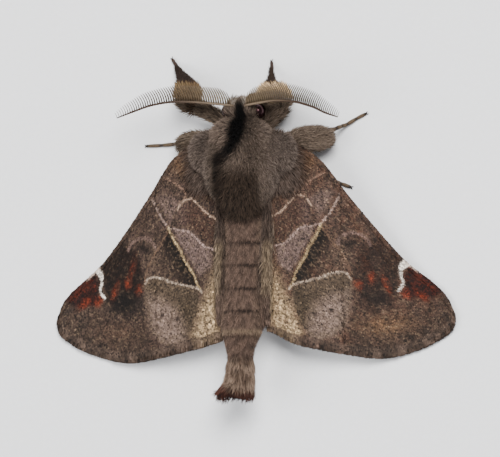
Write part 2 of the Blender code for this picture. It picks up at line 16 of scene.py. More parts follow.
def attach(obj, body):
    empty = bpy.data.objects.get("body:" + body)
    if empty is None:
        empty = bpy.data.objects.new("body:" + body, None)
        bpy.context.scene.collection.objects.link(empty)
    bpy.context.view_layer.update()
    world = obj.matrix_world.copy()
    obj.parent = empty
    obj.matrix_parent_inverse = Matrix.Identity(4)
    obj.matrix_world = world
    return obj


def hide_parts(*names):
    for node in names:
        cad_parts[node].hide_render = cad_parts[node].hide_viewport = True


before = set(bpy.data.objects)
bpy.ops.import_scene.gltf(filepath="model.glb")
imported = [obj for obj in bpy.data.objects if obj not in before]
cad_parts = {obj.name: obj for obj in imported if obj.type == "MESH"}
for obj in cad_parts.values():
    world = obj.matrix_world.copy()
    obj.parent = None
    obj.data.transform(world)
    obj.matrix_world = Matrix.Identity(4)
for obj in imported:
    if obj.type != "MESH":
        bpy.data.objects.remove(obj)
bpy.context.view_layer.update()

# %% [markdown]
# ## Camera
# A close-up lens from far off shows small animals with hardly any perspective, so the lens is long. The
# view is from above, tilted to the moth's right side, and the head points up in the picture. A camera looks
# along its own -Z, so the columns of its matrix are the picture's right, the picture's up and the way back
# to the lens.

# %% Camera over the moth
MM = 0.001
TILT = math.radians(19)
CAMERA_DISTANCE = 1500 * MM
PICTURE_WIDTH = 36.0 * MM
LOOK_AT = Vector((0.53, -0.11, 0.0)) * MM

lens = bpy.data.cameras.new("camera")
lens.sensor_width = 36
lens.lens = lens.sensor_width * CAMERA_DISTANCE / PICTURE_WIDTH
lens.clip_start = 0.01
camera = bpy.data.objects.new("camera", lens)
bpy.context.collection.objects.link(camera)
right = Vector((-math.cos(TILT), 0, -math.sin(TILT)))
up = Vector((0, -1, 0))
back = right.cross(up)
view = Matrix((right, up, back)).transposed().to_4x4()
camera.matrix_world = Matrix.Translation(LOOK_AT + back * CAMERA_DISTANCE) @ view
bpy.context.scene.camera = camera
print("camera at", [round(v * 1000) for v in camera.location], "mm, lens", round(lens.lens), "mm")

# %% [markdown]
# ## Helpers for shapes
# Everything is worked out in millimetres, because steps such as remeshing dislike very small numbers. The
# last step of each piece turns its mesh into metres. A smooth line through a few points stands in for hand
# drawing.

# %% Smooth lines and meshes
def through(points, count):
    """A smooth line through the points, with count + 1 rows; extra columns such as a radius go with them."""
    points = np.array(points, float)
    line = np.vstack([2 * points[0] - points[1], points, 2 * points[-1] - points[-2]])
    place = np.linspace(0, len(points) - 1, count + 1)
    k = np.minimum(place.astype(int), len(points) - 2)
    u = (place - k)[:, None]
    a, b, c, d = (line[k + step] for step in range(4))
    curve = 2 * b + u * (c - a) + u * u * (2 * a - 5 * b + 4 * c - d) + u ** 3 * (3 * b - a - 3 * c + d)
    return 0.5 * curve


def at(line, share):
    """Rows of a line at shares from 0 to 1."""
    place = np.asarray(share) * (len(line) - 1)
    return np.stack([np.interp(place, np.arange(len(line)), column) for column in line.T], -1)


def linked(name, data):
    made = bpy.data.objects.new(name, data)
    bpy.context.collection.objects.link(made)
    return made


def mesh_of(name, verts, faces):
    mesh = bpy.data.meshes.new(name)
    mesh.from_pydata([tuple(map(float, v)) for v in verts], [], [tuple(map(int, f)) for f in faces])
    mesh.update()
    return mesh


def shaped(name, shape, finish):
    """An object made of a list of points and a list of faces, with its finish."""
    made = linked(name, mesh_of(name, *shape))
    made.data.materials.append(finish)
    return made


def evaluated(thing):
    """The plain mesh that an object's modifiers give, without the empty material slots that they leave."""
    bpy.context.view_layer.update()
    mesh = bpy.data.meshes.new_from_object(thing.evaluated_get(bpy.context.evaluated_depsgraph_get()))
    for slot in reversed(range(len(mesh.materials))):
        if mesh.materials[slot] is None:
            mesh.materials.pop(index=slot)
    return mesh


print("3 points in 4 steps give", len(through(((0, 0), (1, 1), (2, 0)), 4)), "rows")

# %% [markdown]
# ## Values kept on points
# A mesh can carry more than its shape. A named attribute keeps a number, an arrow or a colour at each
# point, and node trees and shaders read it by that name. Whole columns are read and written at once, which
# is much faster than going from point to point.

# %% Notes on points
FIELDS = {"FLOAT": "value", "FLOAT_VECTOR": "vector", "FLOAT_COLOR": "color"}
ARROWS = ("lie", "aim", "bow", "spot", "root_uv", "OFBake")


def kind_of(name):
    """The tone is a colour, a few notes are arrows or places, and all others are numbers."""
    if name == "tone":
        return "FLOAT_COLOR"
    return "FLOAT_VECTOR" if name in ARROWS else "FLOAT"


def note(mesh, name, values):
    """Keeps one value for each point of a mesh: a number, an arrow or a colour."""
    kind = kind_of(name)
    values = np.asarray(values, np.float32)
    if kind == "FLOAT_COLOR":
        values = np.hstack([values, np.ones((len(values), 1), np.float32)])
    layer = mesh.attributes.get(name)
    if layer is None:
        layer = mesh.attributes.new(name, kind, "POINT")
    layer.data.foreach_set(FIELDS[kind], values.ravel())


def rows_of(things, field, width=3):
    """One field of a mesh's points, normals or notes, with a row for each."""
    values = np.empty(len(things) * width, np.float32)
    things.foreach_get(field, values)
    return values.reshape(-1, width).squeeze().astype(float)


print("kinds of notes", sorted(FIELDS))

# %% [markdown]
# ## Colours
# Colours are picked on screen, but shaders work with linear light, so each is turned into that first. A
# hairy coat scatters light and looks lighter than its pigment. The pigment is therefore deeper than the
# picked colour.

# %% Colours and soft edges
PIGMENT_POWER = 1.5
PIGMENT_SHARE = 0.9


def paint(red, green, blue):
    """A colour picked on screen, from 0 to 255, as the linear light that shaders use."""
    value = np.array((red, green, blue)) / 255
    return np.where(value <= 0.04045, value / 12.92, ((value + 0.055) / 1.055) ** 2.4)


def pigment(colour):
    return PIGMENT_SHARE * np.maximum(colour, 0) ** PIGMENT_POWER


def soft(value, low, high):
    """0 below low, 1 above high, and a smooth rise between."""
    share = np.clip((value - low) / (high - low), 0, 1)
    return share * share * (3 - 2 * share)


def blend(under, over, amount):
    return under + (over - under) * np.asarray(amount)[..., None]


def plain(picked, count):
    """The same picked colour for each of count points."""
    return np.tile(paint(*picked), (count, 1))


def layered(colour, *layers):
    """Lays thin coats of paint over a colour, each one a picked colour and its amount."""
    for picked, amount in layers:
        colour = blend(colour, paint(*picked), amount)
    return colour


print("a picked middle grey is", round(float(paint(128, 128, 128)[0]), 3), "in linear light")

# %% [markdown]
# ## Finished pieces
# A finished piece is turned into metres and handed to the frame: it rides on the root body, and the solids
# that it is seen in place of are hidden. Hairs and scales keep sharp edges, and all else is shaded smooth.

# %% Hand a piece to the frame
made_pieces = []


def piece(thing, nodes=(), smooth=True):
    """Turns a finished object into metres and hands it to the frame."""
    thing.data.transform(Matrix.Scale(MM, 4))
    if smooth:
        thing.data.shade_smooth()
    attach(thing, "root")
    if nodes:
        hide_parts(*nodes)
    tris = sum(len(f.vertices) - 2 for f in thing.data.polygons)
    made_pieces.append((thing.name, tris))
    print(thing.name, tris, "triangles")


print("pieces so far", len(made_pieces))

# %% [markdown]
# ## Node helpers
# Shaders and Geometry Nodes are both built of nodes whose sockets are given a value or a wire. One helper
# does both, so that the trees below can be read from top to bottom.

# %% Nodes and wires
def enabled(sockets, name):
    """The socket of this name that is in use; some nodes hide others of the same name."""
    return next(s for s in sockets if s.enabled and s.name == name)


def feed(tree, node, inputs):
    """Gives each named or numbered input a value, or a wire from another node's output."""
    for key, value in inputs.items():
        socket = node.inputs[key] if isinstance(key, int) else enabled(node.inputs, key)
        if isinstance(value, bpy.types.NodeSocket):
            tree.links.new(value, socket)
        else:
            socket.default_value = value


def add_node(tree, kind, inputs=None, **settings):
    made = tree.nodes.new(kind)
    for key, value in settings.items():
        setattr(made, key, value)
    feed(tree, made, inputs or {})
    return made


def math_node(tree, operation, *values):
    return add_node(tree, "ShaderNodeMath", dict(enumerate(values)), operation=operation).outputs[0]


def new_group(name, kind, inputs, outputs):
    """An empty group with named sockets, and the outputs of its input node."""
    tree = bpy.data.node_groups.new(name, kind)
    for label, socket_kind, *value in inputs:
        socket = tree.interface.new_socket(label, in_out="INPUT", socket_type="NodeSocket" + socket_kind)
        if value:
            socket.default_value = value[0]
    for label, socket_kind in outputs:
        tree.interface.new_socket(label, in_out="OUTPUT", socket_type="NodeSocket" + socket_kind)
    return tree, tree.nodes.new("NodeGroupInput").outputs


def new_finish(name):
    made = bpy.data.materials.new(name)
    made.use_nodes = True
    return made, made.node_tree, made.node_tree.nodes["Principled BSDF"]


print("node groups so far", len(bpy.data.node_groups))

# %% [markdown]
# ## Grain of a coat
# Skin, scales and hairs take their colour from an attribute named tone, worked out point by point from the
# markings. A shared shader group gives each hair or scale its own shade and breaks the colour up with a
# fine grain. It also darkens each hair or scale towards its root as painted shade deep in the coat, and
# lightens its tip. The grain reads Object coordinates, so it stays where it is on the model.

# %% The grain group
# A few pieces of a coat are nearly black and a few are pale, and the rest differ only a little.
SHADES = ((0.0, 0.92), (0.08, 0.76), (0.22, 0.58), (0.6, 0.48), (0.78, 0.42), (0.88, 0.26), (1.0, 0.16))
DARKEST = 0.08

grain, given = new_group(
    "coat_grain", "ShaderNodeTree",
    (("Tone", "Color"), ("Shade", "Float", 0.5), ("Spread", "Float", 0.8), ("Grain size", "Float", 5000.0),
     ("Grain amount", "Float", 0.4), ("Tip", "Float", 0.5), ("Tip light", "Float", 0.0)),
    (("Colour", "Color"), ("Height", "Float")))
place = add_node(grain, "ShaderNodeTexCoord").outputs["Object"]
noise = add_node(grain, "ShaderNodeTexNoise", {"Vector": place, "Scale": given["Grain size"], "Detail": 3})
pepper = add_node(grain, "ShaderNodeValToRGB", {"Fac": given["Shade"]})
for position, value in SHADES[1:-1]:
    pepper.color_ramp.elements.new(position)
for element, (position, value) in zip(pepper.color_ramp.elements, SHADES):
    element.position = position
    element.color = (value, value, value, 1)
own = math_node(grain, "SUBTRACT", math_node(grain, "MULTIPLY", pepper.outputs["Color"], 2.0), 1.0)
own = math_node(grain, "MULTIPLY", own, given["Spread"])
# Painted shade deep in the coat: darker towards the root of each hair or scale, and lighter at its tip.
tips = math_node(grain, "SUBTRACT", given["Tip"], 0.5)
tips = math_node(grain, "ADD", math_node(grain, "MULTIPLY", tips, given["Tip light"]), 1.0)
fine = math_node(grain, "SUBTRACT", noise.outputs["Fac"], 0.5)
fine = math_node(grain, "MULTIPLY", fine, given["Grain amount"])
light = math_node(grain, "ADD", math_node(grain, "ADD", own, fine), 1.0)
light = math_node(grain, "MULTIPLY", math_node(grain, "MAXIMUM", light, DARKEST), tips)
scaled = add_node(grain, "ShaderNodeVectorMath", {0: given["Tone"], "Scale": light}, operation="SCALE")
add_node(grain, "NodeGroupOutput", {"Colour": scaled.outputs[0], "Height": noise.outputs["Fac"]})
print("grain group with", len(grain.nodes), "nodes")

# %% [markdown]
# ## Finishes
# Skin, hair, scales and the horn of feelers and feet scatter light a little differently. They share the
# grain group and differ in a handful of numbers, so one function makes the four finishes.

# %% The four finishes
GLOSS = 0.2
ROUGHNESS_SWING = 0.12
RELIEF_DEPTH = 0.05 * MM


def toned_finish(name, roughness, spread, root_shade_tip_light, grain_size, grain_amount, bump):
    """A finish for skin or coat, coloured by the tone of each point."""
    made, tree, shader = new_finish(name)

    def noted(field, output):
        return add_node(tree, "ShaderNodeAttribute", attribute_name=field).outputs[output]

    values = {"Tone": noted("tone", "Color"), "Spread": spread, "Grain size": grain_size,
              "Grain amount": grain_amount}
    if spread:
        values["Shade"] = noted("shade", "Fac")
    if root_shade_tip_light:
        values.update({"Tip": noted("tip", "Fac"), "Tip light": root_shade_tip_light})
    breakup = add_node(tree, "ShaderNodeGroup", values, node_tree=grain).outputs
    height = breakup["Height"]
    relief = add_node(tree, "ShaderNodeBump", {"Strength": bump, "Distance": RELIEF_DEPTH, "Height": height})
    matt = add_node(tree, "ShaderNodeMapRange", {"To Min": roughness - ROUGHNESS_SWING, "Value": height,
                                                 "To Max": min(1.0, roughness + ROUGHNESS_SWING)})
    feed(tree, shader, {"Base Color": breakup["Colour"], "Normal": relief.outputs["Normal"],
                        "Roughness": matt.outputs["Result"], "Specular IOR Level": GLOSS})
    return made


# Roughness, spread of the shades, lightening of the tips with painted shade at the roots, grain size, grain
# amount and bump.
skin_finish = toned_finish("skin_finish", 0.85, 0.0, 0.0, 9000.0, 0.6, 0.5)
fur_finish = toned_finish("fur_finish", 0.8, 1.25, 1.3, 6000.0, 0.3, 0.2)
scale_finish = toned_finish("scale_finish", 0.75, 1.15, 0.25, 7000.0, 0.35, 0.25)
horn_finish = toned_finish("horn_finish", 0.5, 0.0, 0.0, 4000.0, 0.6, 0.4)
print("finishes", [m.name for m in bpy.data.materials if m.name.endswith("finish")])

# %% [markdown]
# ## Parts that both trees share
# Hairs on a skin and branches on a feeler grow alike: a small form is set on each point, turned along an
# arrow, made real and given its finish. These steps are helpers that both Geometry Nodes trees use.

# %% Steps of a growing tree
def noted_in(tree, name):
    """A note of the points, as a socket."""
    made = add_node(tree, "GeometryNodeInputNamedAttribute", {"Name": name}, data_type=kind_of(name))
    return enabled(made.outputs, "Attribute")


def turned(tree, heading, facing):
    """A turn that takes a form's Z along heading and its Y towards facing."""
    align = "FunctionNodeAlignRotationToVector"
    stand = add_node(tree, align, {"Vector": heading}, axis="Z").outputs[0]
    return add_node(tree, align, {"Rotation": stand, "Vector": facing}, axis="Y", pivot_axis="Z").outputs[0]


def set_forms(tree, points, form, turn, size):
    """Sets a form on each point and makes the lot one real mesh."""
    copied = add_node(tree, "GeometryNodeObjectInfo", {"Object": form, "As Instance": True})
    values = {"Points": points, "Instance": copied.outputs["Geometry"], "Rotation": turn, "Scale": size}
    spread = add_node(tree, "GeometryNodeInstanceOnPoints", values)
    real = add_node(tree, "GeometryNodeRealizeInstances", {"Geometry": spread.outputs["Instances"]})
    return real.outputs["Geometry"]


def hand_out(tree, label, geometry, finish):
    """Gives the mesh its finish and ends the tree."""
    finished = add_node(tree, "GeometryNodeSetMaterial", {"Geometry": geometry, "Material": finish})
    add_node(tree, "NodeGroupOutput", {label: finished.outputs["Geometry"]})


def run_tree(thing, tree, values):
    """The plain mesh that a tree makes from an object. Its inputs are set by the sockets' identifiers."""
    step = thing.modifiers.new(tree.name, "NODES")
    step.node_group = tree
    for socket in tree.interface.items_tree:
        if socket.item_type == "SOCKET" and socket.in_out == "INPUT" and socket.name in values:
            step[socket.identifier] = values[socket.name]
    mesh = evaluated(thing)
    thing.modifiers.remove(step)
    return mesh


print("a tone is noted as", kind_of("tone"), "and a lie as", kind_of("lie"))

# %% [markdown]
# ## How the coat grows
# A moth's coat is thousands of alike hairs or scales that all follow one lie. Modelling each by hand is out
# of the question, so a Geometry Nodes tree scatters one small tuft over the skin. The skin carries the lie,
# the length and the closeness of the coat as attributes. Each tuft keeps a small patch of the skin's UV map
# for baking.

# %% The coat tree
def grow_tree():
    tree, given = new_group(
        "grow_coat", "GeometryNodeTree",
        (("Skin", "Geometry"), ("Tuft", "Object"), ("Per square mm", "Float"), ("Seed", "Int"),
         ("Rise", "Float"), ("Ruffle", "Float"), ("Uneven", "Float"), ("Finish", "Material")),
        (("Coat", "Geometry"),))

    def vector(operation, inputs):
        return add_node(tree, "ShaderNodeVectorMath", inputs, operation=operation).outputs[0]

    def dice(kind, low, high, offset):
        """A random value for each point, with a seed of its own."""
        seed = math_node(tree, "ADD", given["Seed"], offset)
        values = {"Min": low, "Max": high, "Seed": seed}
        made = add_node(tree, "FunctionNodeRandomValue", values, data_type=kind)
        return enabled(made.outputs, "Value")

    def stored(geometry, name, kind, domain, value):
        values = {"Geometry": geometry, "Name": name, "Value": value}
        made = add_node(tree, "GeometryNodeStoreNamedAttribute", values, data_type=kind, domain=domain)
        return made.outputs["Geometry"]

    closeness = math_node(tree, "MULTIPLY", noted_in(tree, "dense"), given["Per square mm"])
    scatter = add_node(tree, "GeometryNodeDistributePointsOnFaces",
                       {"Mesh": given["Skin"], "Density": closeness, "Seed": given["Seed"]},
                       distribute_method="RANDOM").outputs
    lifted = vector("SCALE", {0: scatter["Normal"], "Scale": given["Rise"]})
    ruffled = vector("SCALE", {0: dice("FLOAT_VECTOR", (-1, -1, -1), (1, 1, 1), 1), "Scale": given["Ruffle"]})
    heading = vector("ADD", {0: noted_in(tree, "lie"), 1: lifted})
    heading = vector("NORMALIZE", {0: vector("ADD", {0: heading, 1: ruffled})})
    vary = math_node(tree, "MULTIPLY_ADD", dice("FLOAT", -1.0, 1.0, 2), given["Uneven"], 1.0)
    length = math_node(tree, "MULTIPLY", vary, noted_in(tree, "size"))
    points = stored(scatter["Points"], "shade", "FLOAT", "POINT", dice("FLOAT", 0.0, 1.0, 3))
    mapped = noted_in(tree, "OFBake")
    points = stored(points, "root_uv", "FLOAT_VECTOR", "POINT", mapped)
    coat = set_forms(tree, points, given["Tuft"], turned(tree, heading, scatter["Normal"]), length)
    root_uv, spot = (noted_in(tree, name) for name in ("root_uv", "spot"))
    patch = vector("ADD", {0: root_uv, 1: spot})
    hand_out(tree, "Coat", stored(coat, "OFBake", "FLOAT2", "CORNER", patch), given["Finish"])
    return tree


coat_tree = grow_tree()
print("coat tree with", len(coat_tree.nodes), "nodes")

# %% [markdown]
# ## One hair and one scale
# A hair is a thin cone of three sides that bends a little. A scale is a small shingle, narrow at its root
# and notched at its end. Both are about one unit long, because the tree scales them to the length that the
# skin asks for. Each keeps the place of its points for the bake patch, and its height for the painted
# shade at its root and the paler tip.

# %% Forms that are scattered
BAKE_PATCH = 0.003
WIDEST_FORM = 0.4
HAIR_SIDES = 3
FLOOR_SKIN = 0.01


def keep_form(name, verts, faces):
    """A form with its own share of the bake patch and its height noted at each point."""
    mesh = mesh_of(name, verts, faces)
    spot = [(BAKE_PATCH * (v[0] / WIDEST_FORM), BAKE_PATCH * (v[2] - 0.5), 0) for v in verts]
    note(mesh, "spot", spot)
    note(mesh, "tip", [v[2] for v in verts])
    return linked(name, mesh)


def tuft_form(name, half_width, flatness, curl, rings):
    """One hair of length 1 along Z. A ring is its share of the length and its share of the width."""
    verts = []
    for share, wide in rings:
        for k in range(HAIR_SIDES):
            turn = math.tau * (k / HAIR_SIDES + 0.25)
            bend = curl * share * (1 - share)
            verts.append((half_width * wide * math.cos(turn),
                          half_width * wide * flatness * math.sin(turn) + bend, share))
    verts.append((0, 0, 1))
    faces = [(2, 1, 0)]
    last = HAIR_SIDES * (len(rings) - 1)
    for low in range(0, last, HAIR_SIDES):
        for k in range(HAIR_SIDES):
            n = (k + 1) % HAIR_SIDES
            high = low + HAIR_SIDES
            faces += [(low + k, low + n, high + n), (low + k, high + n, high + k)]
    faces += [(last + k, last + (k + 1) % HAIR_SIDES, len(verts) - 1) for k in range(HAIR_SIDES)]
    return keep_form(name, verts, faces)


def grow(skin, name, tuft, per_mm2, seed, rise, ruffle, uneven, finish):
    """Grows a coat over a skin and returns it as an object with a plain mesh."""
    mesh = run_tree(skin, coat_tree, {"Tuft": tuft, "Per square mm": per_mm2, "Seed": seed, "Rise": rise,
                                      "Ruffle": ruffle, "Uneven": uneven, "Finish": finish})
    mesh.name = name
    spots = rows_of(mesh.vertices, "co")
    # Whatever would reach into the floor is pressed flat onto it.
    spots[:, 2] = np.maximum(spots[:, 2], FLOOR_SKIN)
    mesh.vertices.foreach_set("co", spots.astype(np.float32).ravel())
    return linked(name, mesh)


hair = tuft_form("hair_form", half_width=0.045, flatness=0.7, curl=0.25, rings=((0.0, 0.9), (0.45, 1.0)))
wing_scale = keep_form("scale_form", ((-0.1, 0, -0.1), (0.1, 0, -0.1), (0.3, 0.03, 0.45), (-0.3, 0.03, 0.45),
                                      (0.22, 0.0, 0.95), (0.0, 0.02, 0.84), (-0.22, 0.0, 0.95)),
                       ((0, 3, 2), (0, 2, 1), (3, 6, 5), (3, 5, 2), (2, 5, 4)))
print("a hair has", len(hair.data.polygons), "faces and a scale", len(wing_scale.data.polygons))

# %% [markdown]
# ## Wings: plan and height
# A resting moth's wing is a thin sheet on a low roof. Its plan is drawn by three edges, the front edge, the
# outer edge and the inner edge, and a profile gives its height at each distance from the body. Veins are
# ridges that run outwards; each is noted by its share of the way from the front to the inner edge and where
# it starts.

# %% Outlines of the wings
WING_PROFILE = ((1.0, 2.8), (2.5, 2.74), (4.0, 2.6), (5.7, 2.3), (7.5, 1.76), (9.5, 1.14), (11.4, 0.66),
                (13.2, 0.25), (16.0, 0.25))
LOWEST_SHEET = 0.25
REAR_DROP = 0.016
REAR_DROP_FROM = 4
FORE_EDGES = (((2.6, -6.3), (4.2, -6.0), (5.6, -5.04), (6.45, -4.0), (7.43, -2.59), (8.94, -0.62),
               (10.47, 1.27), (11.77, 2.68), (13.17, 3.8), (14.15, 4.65), (14.72, 5.4), (14.97, 6.1)),
              ((14.97, 6.1), (15.02, 6.75), (14.65, 7.6), (13.2, 8.5), (10.9, 9.25), (9.02, 9.4),
               (6.39, 8.95), (4.8, 8.6), (3.21, 8.23), (1.8, 7.8)),
              ((1.75, -3.6), (1.8, -1.2), (1.98, 1.5), (2.0, 4.5), (1.8, 7.8)))
HIND_EDGES = (((2.2, -3.9), (4.4, -2.9), (6.8, -0.4), (8.6, 2.6)),
              ((8.6, 2.6), (9.0, 5.2), (7.6, 7.4), (5.0, 7.7), (2.4, 6.8)),
              ((1.3, -2.4), (1.3, 1.0), (1.4, 4.2), (2.4, 6.8)))
FORE_VEINS = ((0.1, 0.0), (0.22, 0.25), (0.34, 0.45), (0.46, 0.45), (0.58, 0.45), (0.7, 0.35), (0.81, 0.25),
              (0.92, 0.0))
HIND_VEINS = ((0.15, 0.0), (0.4, 0.35), (0.62, 0.35), (0.85, 0.0))
SWEEP_PIVOT = (3.2, -4.6)
RIGHT_SWEEP = math.radians(1.6)
RIGHT_REACH = 0.975


def wing_height(x, y):
    xs, zs = zip(*WING_PROFILE)
    sag = REAR_DROP * np.maximum(0, y - REAR_DROP_FROM) ** 2
    return np.maximum(np.interp(x, xs, zs) - sag, LOWEST_SHEET)


def on_side(side, x, y):
    """Plan coordinates of the left wing, taken to its own side. The right wing is swept a little further
    forward, reaches a little less far, and its inner rear corner is drawn forward."""
    if side > 0:
        return x, y
    near = np.clip((4.2 - x) / 2.3, 0, 1)
    rear = np.clip((y - 4.5) / 3.4, 0, 1)
    y = y - 0.2 * rear ** 2 - 0.7 * near ** 2 * rear ** 2
    x = np.minimum(x, 2 + RIGHT_REACH * (x - 2)) - 0.35 * near ** 2 * soft(y, -1, 3)
    dx, dy = x - SWEEP_PIVOT[0], y - SWEEP_PIVOT[1]
    c, s = math.cos(-RIGHT_SWEEP), math.sin(-RIGHT_SWEEP)
    return -(dx * c - dy * s + SWEEP_PIVOT[0]), dx * s + dy * c + SWEEP_PIVOT[1]


print("wing height beside the body and at the tip", wing_height(np.array((2.0, 14.0)), np.zeros(2)), "mm")

# %% [markdown]
# ## Wings: the sheets
# The sheet between three edges and a straight root is a Coons patch, which blends the edges evenly. Its
# upper and lower side are the same grid a wing's thickness apart, joined round the border, so it is closed.
# Shares along and across the wing make an even UV map, with the upper side in one half and the lower side
# in the other.

# %% Closed sheets with their notes
EDGE_STEPS = 200
# The sheet stops short of the solid's outer edge by the length of the fringe.
SHEET_REACH = 0.985
VEIN_WIDTH = 0.012
VEIN_HEIGHT = 0.06
VEIN_FADE = 0.08
RIM_WIDTH = 0.02
# The marks of the right wing lie this much nearer the head and body, and those near its tip a little more.
RIGHT_MARKS_SHIFT = 0.27
UNDERSIDE = (120, 104, 88)
UNDERSIDE_SHARE = 0.45
UNDERSIDE_CLOSENESS = 0.3
RIM_CLOSENESS = 1.6
MAP_MARGIN = 0.01
MAP_LENGTH = 0.48
MAP_WIDTH = 0.98


def wing_plan(edges, rows, columns):
    """A grid of shares along and across a wing, with the plan coordinates of its points."""
    s, t = np.meshgrid(np.linspace(0, SHEET_REACH, rows + 1), np.linspace(0, 1, columns + 1), indexing="ij")
    front, rim, inner = (through(edge, EDGE_STEPS) for edge in edges)
    along, across = s[..., None], t[..., None]
    tip_line = front[-1] * (1 - across) + inner[-1] * across
    flat = at(front, s) * (1 - across) + at(inner, s) * across + (at(rim, t) - tip_line) * along
    return s, t, flat[..., 0], flat[..., 1]


def sheet_faces(side, rows, columns):
    """Faces of both sides of a closed sheet and of the strip round its border."""
    wide = columns + 1
    count = (rows + 1) * wide
    cells = [(i * wide + j, (i + 1) * wide + j, (i + 1) * wide + j + 1, i * wide + j + 1)
             for i in range(rows) for j in range(columns)]
    if side < 0:
        cells = [cell[::-1] for cell in cells]
    faces = cells + [tuple(v + count for v in cell[::-1]) for cell in cells]
    border = ([(i, 0) for i in range(rows)] + [(rows, j) for j in range(columns)]
              + [(i, columns) for i in range(rows, 0, -1)] + [(0, j) for j in range(columns, 0, -1)])
    loop = [i * wide + j for i, j in border]
    for a, b in zip(loop, loop[1:] + loop[:1]):
        quad = (a, a + count, b + count, b)
        faces.append(quad if side > 0 else quad[::-1])
    return faces


def wing_skin(name, side, edges, veins, drop, thickness, rows, columns, tone, scale_size, fringe):
    """A closed thin wing with its tone, lie, size and closeness at each point, and an even UV map. The plan
    coordinates of its points come back with it."""
    s, t, x, y = wing_plan(edges, rows, columns)
    ridge = sum(np.exp(-((t - vein) / VEIN_WIDTH) ** 2) * soft(s, start, start + VEIN_FADE)
                for vein, start in veins)
    z = np.maximum(wing_height(x, y) - drop, thickness / 2) + VEIN_HEIGHT * ridge
    px, py = on_side(side, x, y)
    levels = [np.stack([px, py, z + half], -1).reshape(-1, 3) for half in (thickness / 2, -thickness / 2)]
    mesh = mesh_of(name, np.vstack(levels), sheet_faces(side, rows, columns))
    out = np.gradient(np.stack([px, py, z], -1), axis=0)
    out /= np.linalg.norm(out, axis=2, keepdims=True)
    note(mesh, "lie", np.vstack([out.reshape(-1, 3)] * 2))
    shift = RIGHT_MARKS_SHIFT * (1 + 0.35 * soft(x, 9.5, 11.5)) if side < 0 else 0
    colour = tone(side, (x + shift * soft(x, 2.5, 5.5)).ravel(), (y + shift).ravel(), s.ravel(), t.ravel())
    colour = np.vstack([colour, layered(colour, (UNDERSIDE, UNDERSIDE_SHARE))])
    note(mesh, "tone", pigment(colour))
    near_rim = soft(s, SHEET_REACH - RIM_WIDTH, SHEET_REACH).ravel()
    note(mesh, "size", np.tile(scale_size * (1 + fringe * near_rim), 2))
    closeness = 1 + RIM_CLOSENESS * near_rim
    note(mesh, "dense", np.concatenate([closeness, UNDERSIDE_CLOSENESS * closeness]))
    along, across = MAP_MARGIN + MAP_LENGTH * s.ravel(), MAP_MARGIN + MAP_WIDTH * t.ravel()
    where = np.vstack([np.stack([along + half, across], -1) for half in (0.0, 0.5)])
    corner = np.empty(len(mesh.loops), np.int32)
    mesh.loops.foreach_get("vertex_index", corner)
    mesh.uv_layers.new(name="OFBake").uv.foreach_set("vector", where[corner].astype(np.float32).ravel())
    mesh.materials.append(skin_finish)
    return linked(name, mesh), np.tile(x.ravel(), 2), np.tile(y.ravel(), 2)


print("a sheet of 2 by 2 cells has", len(sheet_faces(1, 2, 2)), "faces")

# %% [markdown]
# ## Wing markings
# The forewing's pattern is a few pale lines, some dark and pale fields and rust-red spots. Each is a short
# curve or outline on the left wing's plan, in millimetres. A point's colour comes from its distance to each
# of them, so the same pattern is worked out for the sheet and for every scale on it.

# %% Lines, fields and spots of the forewing
BASE_LINE = ((6.2, -3.85), (5.75, -3.65), (5.25, -3.4), (4.85, -3.1), (4.5, -2.75), (4.65, -2.2))
INNER_LINE = ((5.2, -1.5), (4.9, -1.95), (4.6, -2.2), (4.0, -2.33), (3.5, -1.9), (2.7, -1.2), (2.2, -0.95),
              (1.6, -0.7))
COSTA_LINE = ((7.25, -2.3), (6.95, -1.7), (6.5, -0.95), (6.2, -0.6), (5.9, -0.2))
MIDDLE_LINE = ((5.85, -0.2), (5.15, -0.1), (4.3, 0.0), (3.7, 0.45), (3.1, 1.03), (2.7, 1.15), (2.3, 1.3))
CREAM_LINE = ((5.9, -0.22), (5.55, 0.5), (5.05, 1.2), (4.45, 2.3), (3.85, 3.1), (3.65, 3.7), (3.4, 4.2))
OUTER_LINE = ((3.25, 4.4), (3.4, 4.2), (3.75, 4.05), (4.7, 3.86), (5.8, 3.62), (6.7, 3.36), (7.5, 3.37),
              (7.85, 3.75))
EDGE_LINE = ((7.85, 3.75), (7.85, 4.8), (7.7, 5.8), (7.4, 7.3))
BROWN_LINE = ((5.95, 0.1), (6.6, 1.03), (7.1, 1.7), (7.5, 2.4), (7.85, 3.2), (7.85, 3.75))
ARCH_LINE = ((9.3, 1.4), (9.1, 1.0), (8.75, 0.72), (8.0, 0.5), (7.3, 0.75), (7.0, 1.25))
# Each line with its width, picked colour and strength.
PALE_LINES = ((BASE_LINE, 0.075, (170, 144, 128), 0.7), (INNER_LINE, 0.078, (200, 178, 160), 0.88),
              (COSTA_LINE, 0.08, (188, 168, 158), 0.85), (MIDDLE_LINE, 0.08, (186, 166, 158), 0.85),
              (BROWN_LINE, 0.07, (148, 124, 106), 0.7), (ARCH_LINE, 0.15, (148, 128, 120), 0.7),
              (EDGE_LINE, 0.1, (136, 120, 106), 0.4), (CREAM_LINE, 0.105, (200, 180, 146), 0.85),
              (OUTER_LINE, 0.09, (196, 181, 166), 0.85))
WHITE_HOOK = ((12.25, 2.6), (11.95, 2.9), (11.66, 3.15), (11.5, 3.5), (11.52, 3.85), (11.63, 4.2),
              (11.57, 4.5), (11.3, 4.85))
COSTA_STREAK = ((11.75, 2.75), (12.3, 3.2), (12.9, 3.7))
ROOT_FIELD = ((1.5, -6), (4, -5.5), (4.6, -3.5), (2.5, -2), (1.5, -2))
WEDGE = ((5.95, -0.05), (5.1, 1.3), (4.4, 2.3), (3.9, 3.15), (3.5, 4.0), (4.7, 3.8), (5.8, 3.55), (6.6, 3.3),
         (6.6, 2.2), (6.5, 1.1))
LILAC_NEAR = ((6.5, -2.7), (5.6, -2.5), (5.1, -2.2), (5.0, -1.9), (5.5, -1.2), (5.7, -0.4), (6.0, -0.9),
              (6.7, -1.9), (6.9, -2.4))
